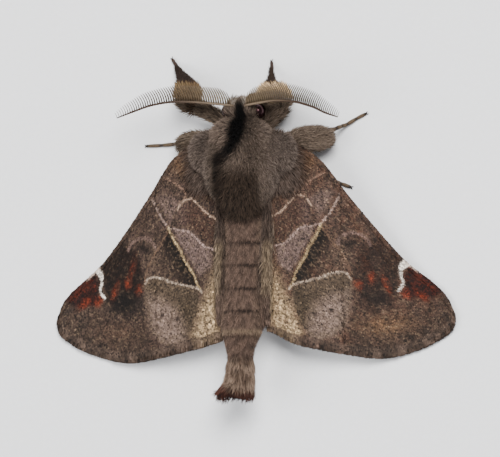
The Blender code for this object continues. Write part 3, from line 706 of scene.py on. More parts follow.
BROWN_NEAR = ((5.0, -1.6), (4.5, -2.1), (3.9, -2.3), (2.8, -1.3), (1.9, -0.9), (2.2, 1.0), (3.0, 0.7),
              (3.6, 0.0), (4.4, -0.3), (5.1, -0.4))
LILAC_MIDDLE = ((5.4, -0.1), (4.4, -0.05), (3.6, 0.4), (2.9, 1.1), (2.4, 1.5), (2.5, 2.6), (3.4, 3.2),
                (3.75, 2.7), (4.25, 1.85), (4.9, 1.0))
ROUND_FIELD = ((3.5, 4.3), (4.7, 3.9), (5.8, 3.68), (6.7, 3.42), (7.5, 3.45), (7.85, 3.8), (7.85, 4.8),
               (7.7, 5.8), (7.35, 7.3), (6.5, 8.1), (5.6, 8.3), (4.8, 8.1), (4.2, 7.2), (3.7, 6.0),
               (3.45, 5.0))
PALE_FIELD = ((7.6, 4.8), (6.6, 4.9), (5.4, 5.6), (4.9, 6.6), (4.7, 7.7), (5.6, 8.2), (6.4, 8.0), (7.2, 7.2),
              (7.6, 5.9))
CREAM_FIELD = ((2.2, 2.4), (2.5, 2.9), (2.8, 4.2), (3.2, 5.2), (3.6, 6.3), (4.15, 7.8), (3.3, 8.6),
               (1.8, 8.2), (1.8, 5.5), (2.0, 3.6))
DARK_ZONE = ((11.6, 2.6), (9.8, 0.9), (8.9, 1.3), (8.2, 2.2), (8.1, 3.2), (8.5, 5.0), (9.7, 6.0), (11.1, 5.1),
             (11.4, 3.7))
RED_FIELD = ((12.1, 3.0), (13.0, 3.2), (14.0, 4.05), (14.5, 4.9), (13.9, 5.4), (13.0, 5.5), (12.0, 5.3),
             (11.6, 5.1), (11.85, 4.5), (11.75, 3.8))
# Centre, half length and half width, turn, and strength on the left and on the right wing.
RED_SPOTS = (((12.95, 5.25), (0.26, 0.66), -0.9, 1, 1), ((11.8, 5.1), (0.32, 0.45), -0.6, 1, 1),
             ((10.4, 4.35), (0.24, 0.75), -0.4, 1, 1), ((9.33, 3.75), (0.3, 0.45), 0.0, 1, 1),
             ((8.4, 4.25), (0.28, 0.42), -0.4, 1, 0.9), ((8.85, 2.45), (0.26, 0.8), -0.2, 0.35, 0.1),
             ((9.05, 3.0), (0.2, 0.5), -0.1, 0.3, 0.05), ((13.6, 4.5), (0.3, 0.5), -0.6, 0.4, 0.4),
             ((12.7, 4.0), (0.3, 0.45), -0.6, 0.4, 0.5))
# Centre and reach of the small dark dots.
DOTS = ((6.45, 6.05, 0.03), (5.25, 6.3, 0.03), (7.75, 1.35, 0.1), (8.15, 1.2, 0.06))
print("forewing with", len(PALE_LINES), "pale lines,", len(RED_SPOTS), "red spots and", len(DOTS), "dots")

# %% [markdown]
# ## Brushes for the markings
# Real markings are made of single scales, so no edge is sharp. A field fades over a soft edge, clouds of
# waves in random directions vary its colour, and a dusting picks out single scales. A line wobbles in width
# and is broken.

# %% Brushes
FAR = 1e9


def distance(x, y, points, closed=False):
    """Distance from each (x, y) to a line through the points."""
    points = np.array(points + points[:1] if closed else points)
    near = np.full(x.shape, FAR)
    for a, b in zip(points, points[1:]):
        run = b - a
        share = np.clip(((x - a[0]) * run[0] + (y - a[1]) * run[1]) / (run @ run), 0, 1)
        near = np.minimum(near, np.hypot(x - a[0] - share * run[0], y - a[1] - share * run[1]))
    return near


def inside(x, y, outline, softness):
    """1 well inside an outline, 0 well outside it and a soft edge between."""
    odd = np.zeros(x.shape, bool)
    for (ax, ay), (bx, by) in zip(outline, outline[1:] + outline[:1]):
        crosses = (ay > y) != (by > y)
        odd ^= crosses & (x < (bx - ax) * (y - ay) / (by - ay + 1e-12) + ax)
    near = distance(x, y, outline, closed=True)
    return soft(np.where(odd, near, -near), -softness, softness)


def haze(x, y, centre, half):
    """A soft round or oval spot, 1 at its centre."""
    return np.exp(-((x - centre[0]) / half[0]) ** 2 - ((y - centre[1]) / half[1]) ** 2)


def blotches(x, y, size, seed, waves=9):
    """Smooth random cloud from 0 to 1, as a sum of waves in seeded directions."""
    dice = np.random.default_rng(seed)
    total = np.zeros(x.shape)
    for k in range(waves):
        turn, phase = dice.uniform(0, math.tau, 2)
        pace = math.tau / (size * dice.uniform(0.6, 1.6))
        total += np.sin(pace * (x * math.cos(turn) + y * math.sin(turn)) + phase)
    return np.clip(0.5 + total / waves, 0, 1)


def speckle(x, seed, low, high):
    """A random dusting of single scales: 0 for most points and up to 1 for a few."""
    return soft(np.random.default_rng(seed).random(x.shape), low, high)


def smooth_distance(x, y, points, steps):
    return distance(x, y, [tuple(p) for p in through(points, steps)])


def line_on(colour, x, y, points, width, picked, strength):
    wobble = width * (0.6 + 0.8 * blotches(x, y, 0.4, len(points)))
    broken = 0.72 + 0.28 * speckle(x, 67 + len(points), 0.2, 0.5)
    gap = smooth_distance(x, y, points, 4 * len(points))
    return layered(colour, (picked, broken * strength * (1 - soft(gap, 0.45 * wobble, wobble))))


sample = np.linspace(0, 10, 1000)
print("mean of a cloud", round(float(blotches(sample, sample, 1.0, 1).mean()), 2))

# %% [markdown]
# ## Ground and fields
# The picture is built up as a painter would: first the brown ground with its clouds, then the dark and the
# pale fields, and single marks last. The two wings of one moth differ a little, so some amounts depend on
# the side.

# %% Ground, middle fields and red marks
def ground_of(side, x, y):
    """The brown ground of the forewing, its shaded zones and its soft pale clouds."""
    near = inside(x, y, BROWN_NEAR, 0.2)
    return layered(
        plain((100, 84, 75) if side > 0 else (110, 86, 73), len(x)),
        ((118, 102, 94), 0.5 * blotches(x, y, 1.4, 3)),
        ((76, 63, 56), 0.6 * soft(blotches(x, y, 0.7, 4), 0.45, 0.75)),
        ((86, 68, 59), inside(x, y, ROOT_FIELD, 0.6)),
        ((130, 106, 84), 0.7 * haze(x, y, (5.0, -4.7), (0.75, 0.7))),
        ((134, 117, 110), 0.75 * inside(x, y, LILAC_NEAR, 0.3)),
        ((100, 79, 69), 0.9 * near),
        ((122, 108, 104), 0.4 * near * soft(x, 3.8, 5.0)),
        ((138, 121, 115), 0.85 * inside(x, y, LILAC_MIDDLE, 0.15)),
        ((116, 101, 90), 0.7 * haze(x, y, (7.1, 2.0), (0.7, 1.5))))


def middle_of(side, colour, x, y):
    """The dark wedge behind the cream line, the dark zone of the front edge and the round pale field."""
    left = side > 0
    wedge = inside(x, y, WEDGE, 0.12) * (1 - 0.85 * soft(distance(x, y, CREAM_LINE), 0.3, 1.6))
    field = inside(x, y, ROUND_FIELD, 0.15)
    cloud = inside(x, y, PALE_FIELD, 0.7)
    cream = inside(x, y, CREAM_FIELD, 0.5)
    rear = soft(y, 1.8, 5.0)
    return layered(
        colour,
        ((45, 34, 25), wedge),
        ((54, 39, 31), (0.95 if left else 0.6) * inside(x, y, DARK_ZONE, 0.3)),
        ((46, 40, 38), (0.85 if left else 0.5) * haze(x, y, (9.4, 5.3), (1.7, 0.95))),
        ((110, 97, 84), field),
        ((84, 74, 60), 0.6 * field * haze(x, y, (4.2, 5.6), (0.9, 1.6))),
        ((164, 146, 136), 0.85 * cloud),
        ((120, 104, 94), 0.5 * cloud * speckle(x, 61, 0.55, 0.75)),
        ((148, 130, 108), 0.5 * cream * (1 - rear)),
        ((212, 190, 158), 0.95 * cream * rear * (0.35 + 0.65 * speckle(x, 62, 0.3, 0.5))),
        ((84, 72, 56), 0.6 * cream * speckle(x, 63, 0.8, 0.9)))


def red_marks(side, colour, x, y):
    """The maroon field beyond the white hook and the rust-red spots, all made of mottled scales."""
    field = inside(x, y, RED_FIELD, 0.3)
    colour = layered(
        colour,
        ((68, 40, 32), 0.95 * field),
        ((50, 35, 30), 0.75 * field * soft(blotches(x, y, 0.5, 12), 0.35, 0.65)),
        ((140, 78, 62), 0.5 * field * speckle(x, 64, 0.7, 0.85)))
    mottle = 0.6 + 0.4 * soft(blotches(x, y, 0.22, 21), 0.3, 0.7)
    mottle *= 0.3 + 0.7 * speckle(x, 65, 0.3, 0.6)
    for (cx, cy), (rx, ry), turn, left, right in RED_SPOTS:
        dx, dy = x - cx, y - cy
        along = dx * math.cos(turn) + dy * math.sin(turn)
        across = dy * math.cos(turn) - dx * math.sin(turn)
        spot = np.exp(-((along / rx) ** 2 + (across / ry) ** 2) ** 1.5)
        colour = layered(colour, ((158, 86, 60), 0.88 * (left if side > 0 else right) * spot * mottle))
    return colour


print("ground colour at one place", ground_of(1, np.array([5.0]), np.array([0.0])).round(3).tolist())

# %% [markdown]
# ## The whole pattern
# Lines, the white hook and dots go over the fields. Veins show as faint dark lines, and the fringe along
# the rim is barred. The hindwing hardly shows, so it is plain brown, and paler beside the body.

# %% Colour of each wing
def hook_on(side, colour, x, y):
    """The white mark, broad at the front edge and thin inwards, and a pale streak from it along the edge."""
    wide = 0.08 + (0.2 if side > 0 else 0.3) * (1 - soft(y, 2.8, 3.7))
    gap = smooth_distance(x, y, WHITE_HOOK, 32)
    streak = (1 - soft(distance(x, y, COSTA_STREAK), 0.04, 0.11)) * (1 - soft(x, 12.4, 13.0))
    return layered(colour, ((240, 232, 222), 1 - soft(gap, 0.6 * wide, 1.1 * wide)),
                   ((214, 200, 188), 0.7 * streak))


def fore_tone(side, x, y, s, t):
    """Colour of a forewing at each point of the left wing's plan."""
    outer = soft(s, 0.72, 0.95) * soft(x, 7.2, 8.2)
    rusty = haze(x, y, (10.3, 7.4), (1.8, 0.8)) * (0.4 + 0.6 * speckle(x, 66, 0.3, 0.6))
    # Single golden and dark scales are strewn over the whole wing, under the lines and the red spots.
    golden = 0.5 - 0.2 * inside(x, y, DARK_ZONE, 0.3)
    colour = layered(
        middle_of(side, ground_of(side, x, y), x, y),
        ((98, 84, 75), 0.8 * outer),
        ((134, 110, 94) if side > 0 else (158, 130, 102), (0.5 if side > 0 else 0.7) * rusty),
        ((64, 56, 51), 0.6 * soft(blotches(x, y, 0.9, 9), 0.5, 0.75) * outer),
        ((152, 135, 116), golden * speckle(x, 71, 0.78, 0.9)),
        ((50, 42, 38), 0.6 * speckle(x, 72, 0.74, 0.88)))
    colour = red_marks(side, colour, x, y)
    for points, width, picked, strength in PALE_LINES:
        colour = line_on(colour, x, y, points, width, picked, strength)
    colour = hook_on(side, colour, x, y)
    for cx, cy, reach in DOTS:
        colour = layered(colour, ((46, 36, 32), 0.85 * np.exp(-((x - cx) ** 2 + (y - cy) ** 2) / reach)))
    veins = sum(np.exp(-((t - vein) / 0.006) ** 2) * soft(s, start + 0.1, start + 0.2)
                for vein, start in FORE_VEINS)
    colour = layered(colour, ((92, 78, 66), 0.2 * np.clip(veins, 0, 1)))
    bars = soft(np.sin(t * 58 + 2.5 * blotches(x, y, 1.5, 14)) + blotches(x, y, 0.5, 15) - 0.5, -0.2, 0.6)
    fringe = layered(plain((92, 80, 72), len(x)), ((122, 107, 97), bars))
    return blend(colour, fringe, 0.7 * soft(s, 0.94, 0.955))


def hind_tone(side, x, y, s, t):
    """The hindwing is plain brown, paler beside the body, where it shows between forewing and abdomen."""
    return layered(plain((106, 90, 76), len(x)), ((132, 114, 98), 0.6 * (1 - soft(x, 1.5, 2.3))),
                   ((70, 58, 48), 0.5 * speckle(x, 73, 0.7, 0.85)), ((96, 82, 70), 0.6 * soft(s, 0.7, 0.95)))


FORE_WING = {"edges": FORE_EDGES, "veins": FORE_VEINS, "drop": 0.0, "thickness": 0.12, "rows": 180,
             "columns": 120, "tone": fore_tone, "scale_size": 0.155, "fringe": 1.5}
HIND_WING = {"edges": HIND_EDGES, "veins": HIND_VEINS, "drop": 0.88, "thickness": 0.1, "rows": 70,
             "columns": 50, "tone": hind_tone, "scale_size": 0.24, "fringe": 1.0}
print("forewing grid", FORE_WING["rows"], "by", FORE_WING["columns"])

# %% [markdown]
# ## Scales and root fur
# Scales overlap like shingles and point outwards, and the longest make the fringe. Each forewing's scales
# are two pieces, so that neither grows too big. Where the wing meets the chest and lies along the abdomen
# it is furry as well, so its sheet is given the fur's tone, length and closeness while that coat grows, and
# its own tone afterwards.

# %% Build the wings and their scales
SCALES_SPLIT = 7.0
for side, word in ((1, "left"), (-1, "right")):
    fore, x, y = wing_skin("fore_sheet_" + word, side, **FORE_WING)
    sheet = fore.data
    closeness = rows_of(sheet.attributes["dense"].data, "value", 1)
    scales = []
    for half, part in ((x < SCALES_SPLIT, "inner"), (x >= SCALES_SPLIT, "outer")):
        note(sheet, "dense", closeness * half)
        name = "fore_scales_%s_%s" % (part, word)
        scales.append(grow(fore, name, wing_scale, per_mm2=255, seed=10 + side, rise=0.13, ruffle=0.1,
                           uneven=0.25, finish=scale_finish))
    bare_tone = rows_of(sheet.attributes["tone"].data, "color", 4)[:, :3]
    upper = np.repeat((1.0, 0.0), len(x) // 2)
    root = (1 - soft(np.hypot(x - 2.4, (y + 4.6) / 1.5), 1.2, 2.6)) * (1 - soft(y, -3.2, -2.3)) * upper
    edge = (1 - soft(x, 2.05, 2.3)) * soft(y, -1.5, 0.0) * (1 - soft(y, 5.0, 7.0)) * upper
    along_body = blend(paint(132, 121, 110), paint(156, 142, 122), soft(y, 1.5, 4.5))
    fur_tone = blend(blend(bare_tone, pigment(paint(122, 110, 102)), root), pigment(along_body), edge)
    note(sheet, "tone", fur_tone)
    note(sheet, "dense", root + 0.7 * edge)
    note(sheet, "size", 0.55 + 0.15 * edge)
    root_fur = grow(fore, "wing_root_fur_" + word, hair, per_mm2=220, seed=30 + side, rise=0.35, ruffle=0.25,
                    uneven=0.3, finish=fur_finish)
    note(sheet, "tone", bare_tone)
    piece(root_fur, smooth=False)
    piece(fore, ["forewing_" + word])
    for half in scales:
        piece(half, smooth=False)
    hind, _, _ = wing_skin("hind_sheet_" + word, side, **HIND_WING)
    scales = grow(hind, "hind_scales_" + word, wing_scale, per_mm2=80, seed=20 + side, rise=0.15, ruffle=0.12,
                  uneven=0.2, finish=scale_finish)
    piece(hind, ["hindwing_" + word])
    piece(scales, smooth=False)

# %% [markdown]
# ## One skin for the soft body
# Chest, head, abdomen, palps and the furry parts of the legs are one soft body on the real moth, so no seam
# may show between them. Each is first a simple closed form, a ball or a tube. A voxel remesh melts them
# into one surface, and a smoothing step rounds the joins. The skin lies under the solids' surface by the
# coat's depth.

# %% Sizes of the body forms
BALLS = (("thorax", (0, -4.5, 3.3), (2.7, 3.1, 1.7)), ("thorax", (0, -6.7, 3.5), (2.15, 1.35, 1.55)),
         ("thorax", (2.55, -5.6, 3.1), (1.35, 1.5, 0.75)), ("thorax", (-2.55, -5.6, 3.1), (1.35, 1.5, 0.75)),
         ("thorax", (0, -6.2, 4.5), (0.75, 1.6, 0.95)), ("thorax", (0, -2.4, 3.25), (1.15, 1.7, 0.95)),
         ("head", (0, -8.4, 3.05), (1.05, 0.85, 1.0)), ("head", (0, -8.75, 3.45), (0.75, 0.6, 0.55)))
# The rows of each line are x, y, z and radius.
ABDOMEN = ((0, -2.6, 2.6, 1.15), (0, -1.0, 2.35, 1.46), (0, 0.9, 2.25, 1.48), (0, 2.6, 2.4, 1.48),
           (0, 4.3, 2.6, 1.46), (0, 6.0, 2.95, 1.44), (0.03, 7.2, 3.3, 1.4), (0.06, 7.75, 3.36, 1.24),
           (0.08, 8.4, 3.4, 1.02), (0.08, 9.0, 3.45, 0.9))
TAIL = ((0.08, 8.8, 3.45, 0.88), (0.06, 9.9, 3.5, 0.88), (0.1, 10.9, 3.62, 0.98), (0.22, 11.75, 3.8, 1.14))
FLANK = ((1.8, -2.8, 2.7, 0.25), (1.78, -1.0, 2.75, 0.28), (1.7, 0.8, 2.85, 0.34), (1.58, 3.0, 2.95, 0.44),
         (1.46, 5.0, 3.0, 0.48), (1.5, 6.7, 2.88, 0.42))
PALP = ((0.45, -8.6, 1.9, 0.2), (0.45, -8.9, 1.5, 0.22), (0.45, -9.2, 1.5, 0.2), (0.42, -9.42, 1.8, 0.16),
        (0.4, -9.5, 2.1, 0.08))
FURRY_LEGS = {
    "thigh_fore_left": ((1.0, -7.2, 1.9, 0.4), (2.3, -8.1, 2.0, 0.42), (3.7, -8.8, 2.1, 0.42)),
    "thigh_fore_right": ((-0.9, -7.3, 1.8, 0.4), (-1.9, -8.25, 1.95, 0.5), (-2.7, -8.8, 1.95, 0.4)),
    "thigh_mid_left": ((2.0, -5.7, 1.8, 0.4), (3.4, -6.3, 1.5, 0.6), (4.7, -6.1, 1.4, 0.75),
                       (5.2, -5.85, 1.4, 0.5)),
    "thigh_mid_right": ((-2.0, -5.7, 1.8, 0.5), (-3.8, -6.45, 1.75, 0.76), (-5.2, -6.6, 1.65, 0.8),
                        (-6.2, -6.65, 1.5, 0.5)),
    "thigh_hind_left": ((1.0, -4.2, 1.5, 0.3), (3.0, -3.9, 0.95, 0.3), (4.6, -3.4, 0.75, 0.25)),
    "thigh_hind_right": ((-1.0, -4.2, 1.5, 0.3), (-3.0, -4.0, 0.95, 0.3), (-5.0, -3.8, 0.75, 0.25)),
    "shin_fore_left": ((3.9, -8.85, 2.05, 0.45), (4.4, -9.3, 1.95, 0.75), (4.65, -9.85, 1.72, 0.78),
                       (5.0, -10.55, 1.25, 0.6), (5.5, -11.15, 0.85, 0.36), (6.0, -11.8, 0.5, 0.18)),
    "shin_fore_right": ((-2.7, -8.8, 1.95, 0.4), (-2.4, -9.3, 1.9, 0.75), (-1.78, -9.8, 1.65, 0.93),
                        (-1.5, -10.4, 1.2, 0.45), (-1.38, -11.1, 0.8, 0.24), (-1.2, -11.7, 0.42, 0.16))}
FAN = ((-1.0, -8.5, 2.1, 0.35), (-1.55, -9.0, 2.1, 0.42), (-2.1, -9.5, 1.95, 0.5))
NECK = ((0, -7.2, 3.1, 0.9), (0, -8.3, 3.05, 0.8))


def mirrored(line):
    return [(-x, y, z, r) for x, y, z, r in line]


LINES = {"abdomen": ABDOMEN, "tail": TAIL, "palp_left": PALP, "palp_right": mirrored(PALP),
         "flank_left": FLANK, "flank_right": mirrored(FLANK), "neck": NECK, "thigh_fan": FAN, **FURRY_LEGS}
print("body of", len(BALLS), "balls and", len(LINES), "tubes")

# %% [markdown]
# ## Melting the forms together
# The voxels are smaller than the thinnest palp, so that nothing breaks off. The chest's swellings are
# smoothed far longer than the thin parts could stand, through a vertex group that holds only the top of the
# chest.

# %% Melt balls and tubes into one skin
SKIN_VOXEL = 0.11
EASE_ROUNDS = 9
DOME_ROUNDS = 40


def tube(line, sides=16, steps=24):
    """A closed tube round a smooth line of x, y, z and radius."""
    rows = through(line, steps)
    verts, faces = [], []
    for k, row in enumerate(rows):
        run = Vector(rows[min(k + 1, steps)][:3] - rows[max(k - 1, 0)][:3]).normalized()
        across = run.cross(Vector((0, 0, 1))).normalized()
        above = across.cross(run)
        for j in range(sides):
            turn = math.tau * j / sides
            verts.append(Vector(row[:3]) + (across * math.cos(turn) + above * math.sin(turn)) * float(row[3]))
    for k in range(steps):
        for j in range(sides):
            n = (j + 1) % sides
            faces.append((k * sides + j, k * sides + n, (k + 1) * sides + n, (k + 1) * sides + j))
    faces.append(tuple(range(sides))[::-1])
    faces.append(tuple(range(steps * sides, (steps + 1) * sides)))
    return verts, faces


def ball(centre, half, fineness=4):
    form = bmesh.new()
    bmesh.ops.create_icosphere(form, subdivisions=fineness, radius=1)
    verts = [Vector((centre[i] + v.co[i] * half[i] for i in range(3))) for v in form.verts]
    faces = [tuple(v.index for v in f.verts) for f in form.faces]
    form.free()
    return verts, faces


def joined(forms):
    verts, faces = [], []
    for own_verts, own_faces in forms:
        faces += [tuple(v + len(verts) for v in face) for face in own_faces]
        verts += own_verts
    return verts, faces


def smoothed(thing, rounds, group=""):
    step = thing.modifiers.new("ease", "SMOOTH")
    step.factor = 0.5
    step.iterations = rounds
    step.vertex_group = group
    thing.data = evaluated(thing)
    thing.modifiers.clear()


forms = [ball(centre, half) for _, centre, half in BALLS] + [tube(line) for line in LINES.values()]
body = linked("body_skin", mesh_of("body_skin", *joined(forms)))
melt = body.modifiers.new("melt", "REMESH")
melt.mode = "VOXEL"
melt.voxel_size = SKIN_VOXEL
smoothed(body, EASE_ROUNDS)
X, Y, Z = rows_of(body.data.vertices, "co").T
dome = np.flatnonzero((np.abs(X) < 3.4) & (Y > -7.9) & (Y < -2.0) & (Z > 2.4))
body.vertex_groups.new(name="dome").add([int(k) for k in dome], 1.0, "REPLACE")
smoothed(body, DOME_ROUNDS, "dome")
body.vertex_groups.clear()
print("body skin with", len(body.data.polygons), "faces")

# %% [markdown]
# ## Regions of the skin
# Fur on a moth lies backwards over the chest and abdomen, and outwards along the legs. Each point of the
# skin belongs to its nearest form. A ball's fur lies backwards and a tube's fur lies along its line.

# %% Nearest form of each point
def line_gap(line):
    """How far each point lies outside a tube, and which way the tube runs there."""
    rows = through(line, 40)
    gap = np.full(len(spots), FAR)
    way = np.zeros((len(spots), 3))
    for a, b in zip(rows, rows[1:]):
        run = b[:3] - a[:3]
        share = np.clip(((spots - a[:3]) @ run) / (run @ run), 0, 1)
        thick = a[3] + share * (b[3] - a[3])
        own_gap = np.linalg.norm(spots - a[:3] - share[:, None] * run, axis=1) - thick
        closer = own_gap < gap
        gap[closer] = own_gap[closer]
        way[closer] = run / np.linalg.norm(run)
    return gap, way


spots = rows_of(body.data.vertices, "co")
normals = rows_of(body.data.vertex_normals, "vector")
X, Y, Z = spots.T
backwards = np.tile((0.0, 1.0, 0.0), (len(spots), 1))
found = [((np.linalg.norm((spots - centre) / half, axis=1) - 1) * min(half), backwards)
         for _, centre, half in BALLS] + [line_gap(line) for line in LINES.values()]
gaps, ways = zip(*found)
nearest = np.argmin(gaps, axis=0)
region = np.array([kind for kind, _, _ in BALLS] + list(LINES))[nearest]
lie = np.array(ways)[nearest, np.arange(len(spots))]
on_chest = np.isin(region, ("thorax", "neck"))
on_head = region == "head"
is_tail = region == "tail"
is_belly = region == "abdomen"
is_flank = np.char.startswith(region, "flank")
is_palp = np.char.startswith(region, "palp")
is_leg = np.char.startswith(region, "thigh") | np.char.startswith(region, "shin")
is_foreshin = np.char.startswith(region, "shin_fore")
print({str(k): int((region == k).sum()) for k in sorted(set(region))})

# %% [markdown]
# ## Lie of the fur
# On the chest the fur fans out to the sides, on the face it hangs down and forward, and the tail's brush
# spreads to the moth's left. Last, each arrow is laid flat on the skin by taking away its part along the
# normal.

# %% Comb the fur
def arrows(x, y, z):
    return np.stack([x + 0 * X, y + 0 * X, z + 0 * X], -1)


lie[on_chest] += arrows(0.22 * X, 0, -0.12 * (3.3 - Z))[on_chest]
face_share = soft(-Y, 8.5, 9.3) * soft(3.6 - Z, -0.2, 0.6)
lie[on_head] = blend(arrows(0.35 * X, -0.7, 0.5), arrows(0.3 * X, -0.25, -1), face_share)[on_head]
lie[is_tail] += arrows(0.4 * soft(X, -0.2, 1.1), 0, 0)[is_tail]
lie -= (lie * normals).sum(1, keepdims=True) * normals
lie /= np.linalg.norm(lie, axis=1, keepdims=True) + 1e-6
print("mean lie of the chest", lie[on_chest].mean(0).round(2).tolist())

# %% [markdown]
# ## Markings of the body
# The chest is grey-brown with a black stripe down the middle of its crest, which starts between the
# feelers. The block of hair behind it is darker. Painted light makes the moth's right side, -X, lighter, and
# painted shade lies beside the crest and at the stripe's end. The same brushes as on the wings are used
# here, with X and Y of each point of the skin.

# %% Colour of chest and head
COUNT = len(spots)
WIDE = np.abs(X)
STRIPE = ((-9.6, 0.0, 0.16), (-9.0, -0.05, 0.26), (-8.0, -0.15, 0.4), (-7.2, -0.2, 0.45), (-6.5, -0.12, 0.3),
          (-5.9, 0.1, 0.22), (-5.2, 0.6, 0.2), (-4.6, 0.9, 0.2))
# Painted shade: a patch along the moth's left of the rear crest, and a band from the stripe's end to it,
# between the shoulder tuft and the crest.
CREST_SHADE_PATCH = ((0.2, -6.0), (0.9, -5.2), (1.25, -4.4), (1.2, -3.2))
CREST_SHADE_BAND = ((0.15, -6.1), (0.7, -5.5), (1.3, -5.1))
rear = on_chest * soft(Y, -5.0, -3.9)
on_top = on_chest * soft(Z, 2.8, 3.4)
patch = 1 - soft(distance(X, Y, CREST_SHADE_PATCH), 0.1, 0.75)
bend = 1 - soft(distance(X, Y, CREST_SHADE_BAND), 0.15, 0.5)
stripe_y, stripe_x, stripe_half = zip(*STRIPE)
off_stripe = np.abs(X - np.interp(Y, stripe_y, stripe_x)) / np.interp(Y, stripe_y, stripe_half)
stripe = 1 - soft(off_stripe, 0.6, 1.3)
stripe *= soft(Y, -9.2, -8.7) * (1 - soft(Y, -6.7, -5.0)) * soft(Z, 3.2, 3.7)
tone = layered(
    plain((139, 126, 116), COUNT),
    # Painted light: the moth's right side, -X, is lighter and its clouds fainter, as the light falls from
    # that side.
    ((148, 135, 125), soft(-X, 0.8, 2.2)),
    ((92, 84, 76), 0.6 * blotches(X, Y, 2.4, 31) * (1 - 0.5 * soft(-X, 0.5, 2.0))),
    ((130, 120, 114), 0.5 * soft(WIDE, 1.6, 2.8) * on_chest),
    ((80, 69, 60), 0.85 * rear * (1 - soft(WIDE, 1.25, 1.7))),
    # Painted shade beside the crest and at the stripe's end.
    ((50, 41, 35), 0.5 * patch * on_top),
    ((34, 26, 22), 0.75 * bend * on_top),
    ((20, 16, 14), 0.97 * stripe * (on_chest | on_head)))
print("black stripe on", int((stripe * (on_chest | on_head) > 0.5).sum()), "points")

# %% [markdown]
# ## Rings of the abdomen
# Thin dark lines end the abdomen's rings, and the tail darkens to its tip. A band is strongest at its middle
# and fades to both sides. The strips of hair beside the abdomen are golden in their middle part.

# %% Colour of abdomen, tail and flanks
RING_ENDS = (0.98, 2.6, 4.28, 5.9)


def band(middle, width):
    return np.exp(-((Y - middle) / width) ** 2)


ends = np.clip(sum(band(end - 0.1, 0.09) for end in RING_ENDS), 0, 1)
belly = layered(
    plain((139, 121, 110), COUNT),
    ((148, 131, 117), 0.6 * soft(WIDE, 0.8, 1.3)),
    ((98, 86, 79), 0.6 * soft(blotches(X, Y, 0.5, 35), 0.3, 0.8)),
    ((28, 22, 19), (0.6 + 0.38 * soft(-X, -0.3, 0.6)) * ends),
    ((160, 144, 126), 0.8 * band(7.25, 0.17)),
    ((60, 50, 44), 0.5 * band(7.6, 0.1) + 0.4 * band(9.0, 0.12)),
    ((148, 132, 119), is_tail * soft(Y, 8.8, 9.4)),
    ((88, 72, 62), 0.6 * is_tail * soft(blotches(4 * X, Y, 1.2, 38), 0.45, 0.7)),
    ((98, 70, 60), is_tail * soft(Y + 0.55 * soft(X, 0.2, 1.0), 11.25, 11.55)))
flank = layered(
    plain((110, 98, 90), COUNT),
    ((132, 116, 106), soft(Y, 3.5, 5.0)),
    ((162, 147, 128), 0.85 * soft(Y, 0.2, 1.0) * (1 - soft(Y, 3.8, 5.0)) * soft(WIDE, 1.4, 1.7)),
    ((90, 78, 70), 0.6 * soft(blotches(2 * X, Y, 0.5, 36), 0.45, 0.7)))
print("dark ring ends on", int((ends * is_belly > 0.5).sum()), "points")

# %% [markdown]
# ## Legs, and the whole body
# The front shins are golden and end in dark brown. Each region then takes the colour that was mixed for it,
# and two last touches go over the pale top of the head and the palps.

# %% Colour of legs, and all of it put together
leg = layered(plain((136, 124, 112), COUNT), ((108, 97, 86), blotches(X + Z, Y, 0.8, 37)),
              ((156, 142, 130), 0.6 * soft(-X, 0.5, 2.0)))
golden = blend(paint(150, 132, 106), paint(206, 186, 156), soft(-X, -1.0, 1.0))
leg = layered(blend(leg, golden, is_foreshin * soft(-Y, 8.9, 9.4)),
              ((116, 97, 80), 0.6 * is_foreshin * (WIDE < 4.3) * soft(X, 3.0, 3.6)),
              ((72, 57, 51), 0.95 * is_foreshin * soft(-Y, 10.15, 10.4)))
for where, colour in ((is_belly | is_tail, belly), (is_flank, flank), (is_leg, leg)):
    tone = np.where(where[:, None], colour, tone)
tone = layered(tone, ((178, 170, 160), 0.75 * on_head * soft(-Y, 8.5, 8.9) * soft(WIDE, 0.15, 0.4)),
               ((142, 120, 96), 0.8 * is_palp))
print("mean tone of the body", tone.mean(0).round(3).tolist())

# %% [markdown]
# ## Length and closeness of the fur
# Fur is shortest on the abdomen and longest on the tail's brush, the head and the block of hair behind the
# crest. Underneath, where hardly any light falls, it grows less close.

# %% Length of the fur
LENGTHS = ((is_belly, 0.25), (on_head, 0.5 + 0.3 * soft(Z, 3.3, 3.7) * soft(WIDE, 0.35, 0.6)),
           (is_palp, 0.32), (is_tail, 0.55 + 0.35 * soft(X, 0.3, 1.0) * soft(Y, 10.8, 11.4)),
           (is_flank, 0.5), (is_leg, 0.55), (is_foreshin, 0.62 * (1 - 0.65 * soft(-Y, 9.9, 10.9))),
           (region == "thigh_mid_right", 0.42))
size = np.full(COUNT, 0.35)
for where, length in LENGTHS:
    size = np.where(where, length, size)
size += 0.35 * rear * (1 - soft(WIDE, 1.2, 1.6))
size += 0.25 * on_chest * soft(Z, 4.4, 5.2) * (1 - soft(Y, -5.2, -4.4))
cover = 0.45 + 0.55 * soft(normals[:, 2], -0.6, -0.1)
note(body.data, "lie", lie)
note(body.data, "tone", pigment(tone))
note(body.data, "size", size)
print("fur from", round(float(size.min()), 2), "to", round(float(size.max()), 2), "mm long")

# %% [markdown]
# ## An unwrap for the skin
# The coat is baked onto textures later, and each tuft takes its colour at the place where it is rooted. The
# skin therefore needs a map of its own shape in which no two places share a spot. Smart UV Project cuts it
# into islands.

# %% Unwrap the body
bpy.context.view_layer.objects.active = body
body.select_set(True)
body.data.uv_layers.new(name="OFBake")
bpy.ops.object.mode_set(mode="EDIT")
bpy.ops.mesh.select_all(action="SELECT")
bpy.ops.uv.smart_project(angle_limit=math.radians(66), island_margin=0.004)
bpy.ops.object.mode_set(mode="OBJECT")
body.data.materials.append(skin_finish)
print("unwrapped", len(body.data.loops), "corners")

# %% [markdown]
# ## Fur of the body
# One coat for the whole body would be a heavy piece, and the fur stands steeper on the chest than on the
# abdomen. Each region therefore has a coat of its own. A coat's numbers are its hairs to a square
# millimetre, its seed, how far the hairs rise, how much they ruffle and how uneven their length is.

